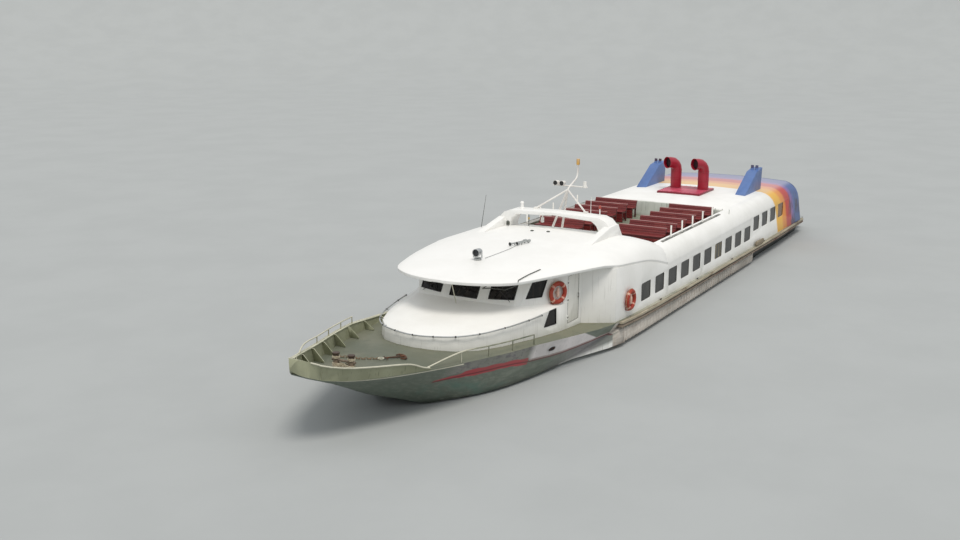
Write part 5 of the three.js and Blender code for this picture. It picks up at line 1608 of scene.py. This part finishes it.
@dataclass
class Foredeck:
    """Bulwark, rails, bitts and ground tackle at the bow."""

    # The bead on the bulwark: its first x, its last x on each side, its step and its radius
    bead: tuple = (17.3, {Side.PORT: 14.2, Side.STBD: 9.6}, 0.1, 0.02)
    # The bitts: middles and radius of their posts
    posts: tuple = ((15.6, 0.24), (15.6, -0.24))
    post: float = 0.075
    # The rope on them: diameter, figures of eight, and where these and the round turns start
    rope: float = 0.026
    turns: int = 4
    rope_from: float = 1.58
    round_from: float = 1.8
    # The anchor: both ends of its shank, how high that lies, half its stock, the reach of its
    # arms, and the radius of its ring
    shank: tuple = ((14.02, 0.1), (13.52, 0.44))
    lie: float = 0.045
    stock: float = 0.14
    arm: float = 0.2
    ring: float = 0.075
    # The chain's route, and the pitch and wire of its links
    chain: tuple = ((15.42, -0.3), (14.95, -0.72), (14.55, -0.98), (14.42, -0.78), (14.38, -0.4),
                    (14.2, -0.18), (14.08, 0.0))
    link: tuple = (0.075, 0.009)

    def build(self, yard: Shipyard) -> None:
        """Finishes what stands on the foredeck, and lays its rope, chain and anchor."""
        yard.skin("bulwark", BULWARK, bevel=0.005)
        yard.skin("bitts", BITTS_PAINT, bevel=0.006)
        yard.skin("bow_rail", CREAM, sharp=50)
        yard.skin("foot_rail", FOOT_RAIL, sharp=50)
        for side in Side:
            self.cap_bulwark(yard, side)
        self.belay(yard)
        self.stow_anchor(yard)

    def cap_bulwark(self, yard: Shipyard, side: Side) -> None:
        """Runs a half-round bead along the outer edge of the bulwark's top."""
        start, ends, step, radius = self.bead
        path, inward = [], PORTWARD * -side.value
        for k in range(round((start - ends[side]) / step) + 1):
            x, level, edge = start - k * step, 2.5, None
            while edge is None:
                level -= 0.006
                outside = Vector((x, 9.0 * side.value, level))
                edge = yard.surface("bulwark").ray_cast(outside, inward, 9.0)[0]
            path.append(edge)
        yard.launch(f"bulwark_bead_{side.suffix}", Form().tube(path, radius, 10), CREAM,
                    "bulwark_paint")

    def belay(self, yard: Shipyard) -> None:
        """Winds the mooring rope on the bitts: eights below the bar, round turns above it."""
        reach = self.post + self.rope / 2 + 0.002
        middle, end = self.posts[0][0], self.posts[0][1] + reach
        turns = [math.tau * k / 48 for k in range(48 * self.turns + 1)]
        routes = {"eights": [(middle + reach * math.sin(2 * t), end * math.cos(t),
                              self.rope_from + self.rope * t / math.tau) for t in turns]}
        turns = [math.tau * k / 24 for k in range(53)]
        for k, (x, y) in enumerate(self.posts):
            routes[f"round_{k}"] = [(x + reach * math.cos(t), y + reach * math.sin(t),
                                     self.round_from + self.rope * t / math.tau) for t in turns]
        for name, route in routes.items():
            rope = laid_rope(PALE_ROPE, route, self.rope)
            yard.launch(f"bitts_rope_{name}", rope, None, "rail_steel", sharp=60)

    def stow_anchor(self, yard: Shipyard) -> None:
        """Lays the anchor on the deck aft of the bitts, with its chain."""
        head, crown = (yard.below("hull", x, y) + UP * self.lie for x, y in self.shank)
        along = (crown - head).normalized()
        across, _ = square_to(along)
        form = Form().tube((head, crown), (0.02, 0.028), 12)
        cross = [head + along * 0.06 + across * reach for reach in (-self.stock, self.stock)]
        form.tube(cross, 0.013, 10)
        swept = [math.radians(-70 + 14 * k) for k in range(11)]
        arms = [crown + (across * math.sin(t) - along * ((1 - math.cos(t)) * 0.8)) * self.arm
                for t in swept]
        form.tube(arms, [0.014] + [0.03] * 9 + [0.014], 10)
        for tip, way in ((arms[1], -1), (arms[-2], 1)):
            foot = tip - UP * 0.02
            fluke = (foot + along * 0.07, foot - along * 0.13, foot + across * (way * 0.075))
            form.prism(fluke, UP * 0.035)
        yard.launch("anchor", form, RUSTED, "iron", bevel=0.004)
        ring = ellipse(head - along * self.ring, along * self.ring, across * self.ring, 28)
        yard.launch("anchor_ring", Form().tube(ring, 0.012, 10, True), CREAM, "rail_steel")
        path = []
        for (x, y), (u, v) in zip(self.chain, self.chain[1:]):
            path += [yard.below("hull", x + (u - x) * k / 6, y + (v - y) * k / 6) + UP * 0.022
                     for k in range(6)]
        yard.launch("anchor_chain", chain(CHAIN, path, *self.link), None, "iron", sharp=60)


@dataclass
class BenchDeck:
    """The open deck with its rows of benches."""

    # Rows of benches: x of the first one's front, pitch, number, and inner and outer end
    first: float = 0.42
    pitch: float = 1.01
    rows: int = 6
    inner: float = 0.70
    outer: float = 2.52
    # Level of the deck, and height of the seat over it
    deck: float = 2.1003
    seat: float = 0.42
    # The aft wall's battens: inset of the first, their step, how thick and how wide
    battens: tuple = (0.2, 0.285, 0.02, 0.03)

    def build(self, yard: Shipyard) -> None:
        """Finishes the deck and its walls, and planks the benches."""
        yard.skin("upper_deck", DECK)
        yard.skin("well_front_wall", WHITE, bevel=0.006)
        yard.skin("well_aft_wall", PALE_GREEN, bevel=0.006)
        low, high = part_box("well_aft_wall")
        inset, step, thick, wide = self.battens
        count = int((high.y - low.y - 0.3) / step) + 1
        points = [(high.x, low.y + inset + k * step, (low.z + high.z) / 2) for k in range(count)]
        sizes = [Vector((thick, wide, high.z - low.z - 0.05))] * count
        yard.launch("aft_wall_battens", battens(PALE_GREEN, points, [AHEAD] * count, sizes), None,
                    "grey_paint")
        for side in Side:
            yard.paint(BENCH_FRAME, f"benches_{side.suffix}")
            yard.skin(f"well_rail_{side.suffix}", RAIL_TRIM, sharp=50)
            self.plank(yard, side)

    def plank(self, yard: Shipyard, side: Side) -> None:
        """Lays the slats of each row on one side, and the cap along each back as a painted
        highlight.
        """
        middle = (self.inner + self.outer) / 2 * side.value
        length = self.outer - self.inner
        # Name, finish, (x, z) of the first plank from the row's foot, step, planks, size, tilt
        slats = (
            ("seat", BENCH, (-0.022, self.seat + 0.008), (-0.1, -0.0037), 4, (0.09, length, 0.02),
             0.035),
            ("back", BENCH, (-0.376, 0.451), (-0.0321, 0.0819), 3, (0.02, length, 0.079), -0.374),
            ("front", BENCH, (0.006, 0.06), (0.0, 0.118), 3, (0.016, length, 0.11), 0.0),
            # The cap stands for the lit top edge of each back: its pale finish is a painted
            # highlight
            ("cap", BENCH_CAP_HIGHLIGHT, (-0.492, 0.667), (0.0, 0.0), 1, (0.062, length + 0.02, 0.022), 0.0))
        for name, finish, start, step, planks, size, tilt in slats:
            inputs = {"Rows": self.rows, "Pitch": self.pitch, "Planks": planks, "Size": size}
            growth = Growth(f"bench_{name}", inputs)
            board = growth.add("GeometryNodeMeshCube", {"Size": growth.given["Size"]})
            board = growth.add("GeometryNodeTransform",
                               {"Geometry": board, "Rotation": (0, tilt, 0)})
            line = growth.add("GeometryNodeMeshLine",
                              {"Count": growth.given["Planks"], "Offset": (step[0], 0, step[1]),
                               "Start Location": (start[0], middle, self.deck + start[1])})
            one = growth.add("GeometryNodeInstanceOnPoints", {"Points": line, "Instance": board})
            back = growth.add("ShaderNodeMath", {0: growth.given["Pitch"], 1: -1.0},
                              operation="MULTIPLY")
            back = growth.add("ShaderNodeCombineXYZ", {0: back})
            rows = growth.add("GeometryNodeMeshLine",
                              {"Count": growth.given["Rows"], "Start Location": (self.first, 0, 0),
                               "Offset": back})
            shape = growth.add("GeometryNodeInstanceOnPoints", {"Points": rows, "Instance": one})
            yard.launch(f"bench_{name}_slats_{side.suffix}", growth.run(shape, finish), None,
                        "bench_paint", bevel=0.005)


@dataclass
class AftRoof:
    """The aft roof with its ventilators and exhaust fins."""

    # The plate's bolts: inset from its rim, pitch and radius
    bolts: tuple = (0.045, 0.19, 0.014)
    # The ventilators: foot of the port one, turn and radius of the mouth, its height and its reach
    cowl: tuple = (-9.35, 0.62, 2.78)
    cowl_turn: float = math.radians(-30)
    cowl_radius: float = 0.235
    cowl_high: float = 1.11
    cowl_reach: float = 0.52
    # Heights of the straps round the trunk, and how far in the disc of painted shade in the throat
    # lies and its radius
    straps: tuple = (0.03, 0.4, 0.76)
    throat: tuple = (0.395, 0.218)
    # The end door's window: half its width, its foot and its head. Beside it the door is solid
    door_light: tuple = (0.19, 1.75, 2.2)
    beside_light: float = 0.3
    handle: tuple = (0.29, 1.5)

    def build(self, yard: Shipyard) -> None:
        """Finishes the roof, plate, ventilators and fins."""
        yard.skin("cabin_roof", BANDED, bevel=0.006)
        yard.skin("vent_plate", PLATE_RED, bevel=0.008)
        yard.skin("end_wall", END_BLUE, bevel=0.006)
        yard.skin("end_door", END_BLUE, bevel=0.004)
        self.bolt_plate(yard)
        self.fit_handle(yard)
        self.glaze_door(yard)
        for side in Side:
            yard.skin(f"cowl_vent_{side.suffix}", CRIMSON, sharp=40)
            self.dress_cowl(yard, side)
            yard.skin(f"exhaust_fin_{side.suffix}", BLUE, bevel=0.015)

    def bolt_plate(self, yard: Shipyard) -> None:
        """Bolts the plate down round its rim."""
        low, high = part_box("vent_plate")
        inset, pitch, radius = self.bolts
        points = []
        for span, fixed, along in ((high.x - low.x, (low.y, high.y), True),
                                   (high.y - low.y, (low.x, high.x), False)):
            count = int((span - 2 * inset) / pitch)
            for k in range(count + 1):
                run = inset + (span - 2 * inset) * k / count
                for edge, way in zip(fixed, (1, -1)):
                    x, y = (low.x + run, edge + way * inset)
                    if not along:
                        x, y = edge + way * inset, low.y + run
                    points.append(yard.below("vent_plate", x, y) + UP * 0.002)
        yard.launch("plate_bolts", studs(IRON, points, [UP] * len(points), radius), None, "iron")

    def dress_cowl(self, yard: Shipyard, side: Side) -> None:
        """Rolls a bead round a ventilator's mouth, straps its trunk and shades its throat with a
        disc.
        """
        foot = side.mirror(self.cowl)
        ahead = Vector((math.cos(self.cowl_turn), math.sin(self.cowl_turn), 0))
        across, mouth = ahead.cross(UP), foot + UP * self.cowl_high + ahead * self.cowl_reach
        wide = self.cowl_radius + 0.006
        form = Form().tube(ellipse(mouth, across * wide, UP * wide, 32), 0.013, 8, True)
        for level in self.straps:
            form.tube(ellipse(foot + UP * level, AHEAD * wide, PORTWARD * wide, 32), 0.009, 8, True)
        yard.launch(f"cowl_beads_{side.suffix}", form, CRIMSON, "crimson_paint")
        # The throat is closed by a dark disc that stands for the shade inside the trunk
        deep, radius = self.throat
        at = foot + UP * self.cowl_high + ahead * deep
        disc = Form().lathe(((radius, 0), (radius, 0.004)), at, ahead, 32)
        yard.launch(f"cowl_throat_{side.suffix}", disc, THROAT_SHADE, "crimson_paint")

    def fit_handle(self, yard: Shipyard) -> None:
        """Fits the lever handle on the end door."""
        base, normal = self.on_door(yard, *self.handle)
        rose = ((0.026, -0.004), (0.026, 0.006), (0.012, 0.01), (0.01, 0.045))
        form = Form().lathe(rose, base, normal, 16)
        form.tube([base + normal * 0.045, base + normal * 0.048 - PORTWARD * 0.12], 0.009, 10)
        yard.launch("end_door_handle", form, STEEL, "rail_steel", "end_door")

    def on_door(self, yard: Shipyard, y: float, z: float) -> tuple[Vector, Vector]:
        """The point on the end door's outer face at (y, z), and its normal."""
        point, normal, _, _ = yard.surface("end_door").ray_cast(Vector((-19, y, z)), AHEAD)
        return point, -normal if normal.x > 0 else normal

    def glaze_door(self, yard: Shipyard) -> None:
        """Sets the pane and its rubber in the end door's window."""
        wide, low, high = self.door_light
        (foot, _), (head, normal) = (self.on_door(yard, self.beside_light, z) for z in (low, high))
        corners = [Vector((at.x, y, at.z)) - normal * 0.012
                   for at, y in ((foot, -wide), (foot, wide), (head, wide), (head, -wide))]
        pane = Form().prism(corners, normal * -0.008)
        yard.launch("end_door_pane", pane, DOOR_GLASS, "iron", "end_door")
        rim = Form().tube([corner + normal * 0.014 for corner in corners], 0.012, 8, True)
        yard.launch("end_door_rubber", rim, BLACK, "rub_rubber", "end_door")


class Tint(Enum):
    """How a small fitting on the roof is finished, with the record's slot for that."""

    DARK = (DARK_TRIM, "iron")
    PALE = (WHITE, "white_paint")
    RED = (LAMP_RED, "buoy_plastic")
    YELLOW = (LAMP_YELLOW, "buoy_plastic")


@dataclass
class TopGear:
    """The arch with its mast and lamps, the searchlight, the horns and the aerials."""

    # Horns: (x, y) of the mouth and of the tail, and the radius of the mouth, and how high they lie
    horns: tuple = (((7.05, 0.05), (6.35, 0.25), 0.06), ((6.86, 0.2), (6.3, 0.36), 0.05))
    horn_lift: float = 0.075
    # (x, y) of the conduit's route, and of the round pads on the roof
    conduit: tuple = ((8.72, 0.12), (8.3, 0.16), (7.92, 0.19), (7.33, 0.21), (6.6, 0.17))
    pads: tuple = ((4.6, -0.45), (4.5, 0.1))
    # Rods and aerials: name, tint, radius at the foot and at the tip, foot, tip
    rods: tuple = (
        ("whip_aerial_stbd", Tint.DARK, 0.011, 0.005, (4.23, -2.63, 2.98), (4.39, -2.34, 4.2)),
        ("whip_aerial_port", Tint.PALE, 0.012, 0.006, (3.3, 1.08, 3.7), (3.3, 1.08, 4.19)),
        ("lamp_post", Tint.PALE, 0.02, 0.02, (3.5, 1.5, 3.66), (3.5, 1.5, 3.93)),
        ("arch_pole", Tint.DARK, 0.012, 0.012, (3.6, -1.1, 3.1), (3.6, -1.1, 3.62)),
        ("arch_bracket", Tint.DARK, 0.014, 0.014, (3.66, -1.7, 3.4), (3.93, -1.72, 3.24)))
    # Lamps: name, tint, foot, and turned profile by radius and height
    lamps: tuple = (
        ("arch_lamp_stbd", Tint.PALE, (3.5, -1.42, 3.66),
         ((0.07, 0), (0.07, 0.05), (0.055, 0.07), (0.055, 0.2), (0.07, 0.22), (0.05, 0.27))),
        ("arch_lamp_hung", Tint.PALE, (3.4, -0.68, 3.24),
         ((0.03, 0), (0.06, 0.02), (0.06, 0.17), (0.025, 0.2), (0.02, 0.36))),
        ("lamp_black", Tint.DARK, (3.95, -1.72, 3.15),
         ((0.04, 0), (0.06, 0.02), (0.06, 0.12), (0.03, 0.15))),
        ("lamp_post_head", Tint.RED, (3.5, 1.5, 3.92),
         ((0.03, 0), (0.045, 0.01), (0.045, 0.09), (0.02, 0.11))),
        ("arch_pole_lamp", Tint.YELLOW, (3.6, -1.1, 3.34),
         ((0.02, 0), (0.03, 0.01), (0.03, 0.07), (0.02, 0.08))))
    # Middles of the black discs of painted shade in the drums' mouths on the mast, and of the
    # searchlight's lens
    drums: tuple = ((2.822, -0.5, 4.555), (2.822, -0.26, 4.555))
    lens: tuple = (9.066, 0.0, 3.3)

    def build(self, yard: Shipyard) -> None:
        """Finishes the arch, mast and searchlight, and adds the gear."""
        yard.skin("arch", WHITE, bevel=0.02)
        yard.skin("mast", MAST_WHITE, sharp=45)
        yard.skin("searchlight_base", GREY, sharp=45)
        yard.skin("searchlight", STEEL, sharp=40)
        for name, tint, thick, thin, foot, tip in self.rods:
            yard.launch(name, Form().tube((foot, tip), (thick, thin), 10), *tint.value)
        for name, tint, foot, profile in self.lamps:
            yard.launch(name, Form().lathe(profile, foot, UP, 24), *tint.value)
        # Black discs of painted shade in the drums' mouths
        mouths = Form()
        for drum in self.drums:
            mouths.lathe(((0.078, -0.004), (0.078, 0.003), (0.02, 0.004)), drum, AHEAD, 24)
        yard.launch("drum_mouths", mouths, BLACK, "iron")
        self.sound(yard)
        self.glaze_searchlight(yard)

    def sound(self, yard: Shipyard) -> None:
        """Sets the horns on their feet, and the conduit and pads on the roof."""
        for k, (mouth, tail, wide) in enumerate(self.horns):
            start, end = (yard.below("wheelhouse_roof", *at) + UP * self.horn_lift
                          for at in (mouth, tail))
            length, along = (end - start).length, (end - start).normalized()
            profile = ((wide, 0), (wide * 0.97, 0.012), (wide * 0.62, 0.05), (0.026, 0.14),
                       (0.02, 0.3), (0.02, length - 0.12), (0.045, length - 0.11), (0.045, length))
            form = Form().lathe(profile, start, along, 24)
            for run in (0.22, length - 0.06):
                foot = start + along * run
                half = Vector((0.018, 0.012, 0))
                form.block(foot - half - UP * (self.horn_lift + 0.003), foot + half)
            yard.launch(f"horn_{k}", form, GREY, "grey_paint")
            # A black disc of painted shade in the horn's mouth, for its dark bore
            cup = Form().lathe(((wide * 0.9, -0.002), (wide * 0.9, 0.002)), start, along, 24)
            yard.launch(f"horn_mouth_{k}", cup, BLACK, "iron")
        route = [yard.below("wheelhouse_roof", x, y) + UP * 0.01 for x, y in self.conduit]
        yard.launch("roof_conduit", Form().tube(route, 0.009, 8), GREY, "grey_paint")
        pads = Form()
        for x, y in self.pads:
            pads.lathe(((0.06, -0.004), (0.06, 0.02), (0.045, 0.03)),
                       yard.below("wheelhouse_roof", x, y), UP, 20)
        yard.launch("roof_pads", pads, DARK_TRIM, "iron")

    def glaze_searchlight(self, yard: Shipyard) -> None:
        """Sets the searchlight's lens in its rim."""
        low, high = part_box("searchlight")
        wide = min(self.lens[2] - low.z, high.z - self.lens[2]) - 0.012
        rim = Form().tube(ellipse(Vector(self.lens), PORTWARD * wide, UP * wide, 32), 0.008, 8,
                          True)
        yard.launch("searchlight_rim", rim, STEEL, "rail_steel", "searchlight")
        profile = ((wide - 0.006, -0.006), (wide - 0.006, 0.002), (wide * 0.6, 0.008),
                   (0.01, 0.011))
        lens = Form().lathe(profile, self.lens, AHEAD, 32)
        yard.launch("searchlight_lens", lens, LENS, "iron", "searchlight")


@dataclass
class Lifebuoys:
    """The four lifebuoys with their bands and grab ropes."""

    # Radius of the ring's middle line and of its tube, and how far the middle hangs off the wall
    ring: float = 0.275
    tube: float = 0.067
    off: float = 0.092
    # The light's turned case, by radius and height
    case: tuple = ((0.03, -0.14), (0.05, -0.12), (0.05, 0.08), (0.035, 0.1), (0.035, 0.14),
                   (0.02, 0.15))
    # Name, the point on the port wall behind it, and degrees that the wall faces toward the bow
    places: tuple = (("fwd", (8.273, 2.274, 2.220), 22.4), ("aft", (5.2, 3.3, 1.45), 0.0))

    def build(self, yard: Shipyard) -> None:
        """Stands a smooth ring for each packed one and dresses it."""
        for name, at, turn in self.places:
            for side in Side:
                self.hang(yard, f"lifebuoy_{name}_{side.suffix}", side.mirror(at), side, turn)

    def circle(self, radius: float, start: float, end: float, steps: int) -> list[Vector]:
        """Points on a circle that stands on edge, from one angle to another."""
        turns = [start + (end - start) * k / steps for k in range(steps + 1)]
        return [Vector((radius * math.cos(t), 0, radius * math.sin(t))) for t in turns]

    def hang(self, yard: Shipyard, node: str, at: Vector, side: Side, turn: float) -> None:
        """Builds one lifebuoy at its place.

        Args:
            yard: The shipyard.
            node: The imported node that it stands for.
            at: The point on the wall behind its middle.
            side: Its side of the boat.
            turn: Degrees that its wall faces toward the bow.
        """
        place = (Matrix.Translation(at) @ Matrix.Rotation(math.radians(-turn * side.value), 4, "Z")
                 @ Matrix.Translation((0, self.off * side.value, 0)))
        ring = Form().tube(self.circle(self.ring, 0, math.tau, 64)[:-1], self.tube, 24, True)
        # The two hooks that it rests on
        near, far = sorted((-self.off * side.value, self.tube * 0.4 * side.value))
        for dx in (-0.18, 0.18):
            ring.block((dx - 0.02, near, -0.32), (dx + 0.02, far, -0.3))
            ring.block((dx - 0.02, near, -0.32), (dx + 0.02, near + 0.012, -0.23))
        piece = yard.launch(f"{node}_ring", ring.moved(place), BUOY, "buoy_plastic", sharp=40)
        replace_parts(piece, node)
        bands, loops = Form(), Form()
        rim = self.ring + self.tube + 0.004
        for k in range(4):
            middle = math.pi / 4 + k * math.pi / 2
            bands.tube(self.circle(self.ring, middle - 0.11, middle + 0.11, 8), self.tube + 0.003,
                       24)
            rope = enumerate(self.circle(1.0, middle, middle + math.pi / 2, 16))
            loops.tube([p * (rim + 0.006 * math.sin(math.pi * i / 16)) for i, p in rope], 0.007, 8)
        yard.launch(f"{node}_bands", bands.moved(place), BUOY_BAND, "white_paint", sharp=40)
        case = Form().lathe(self.case, (0, 0, 0), UP, 20)
        case.block((-0.03, -self.off * side.value, -0.03), (0.03, -0.03 * side.value, 0.03))
        yard.launch(f"{node}_light", case.moved(place), CANISTER, "buoy_plastic", bevel=0.004)
        yard.launch(f"{node}_grab_rope", loops.moved(place), ROPE, "buoy_plastic", sharp=60)


@dataclass
class Stern:
    """Stern platform and running gear."""

    def build(self, yard: Shipyard) -> None:
        """Finishes the platform and what is under the hull."""
        yard.skin("stern_platform", PLATFORM, bevel=0.006)
        for side in Side:
            yard.paint(IRON, f"engine_{side.suffix}")
            yard.skin(f"shaft_{side.suffix}", STEEL, sharp=40)
            yard.skin(f"propeller_{side.suffix}", BRONZE, sharp=40)
            yard.skin(f"rudder_{side.suffix}", HULL, bevel=0.004)


def main() -> None:
    """Builds the studio and every sub-assembly."""
    logging.basicConfig(level=logging.INFO, format="%(message)s")
    Studio().build()
    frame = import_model()
    yard = Shipyard(frame)
    for part in (Hull(), CabinSides(), Wheelhouse(), Foredeck(), BenchDeck(), AftRoof(), TopGear(),
                 Lifebuoys(), Stern()):
        part.build(yard)
        LOG.info("%s done, %d pieces so far", type(part).__name__, yard.made)


if __name__ == "__main__":
    main()
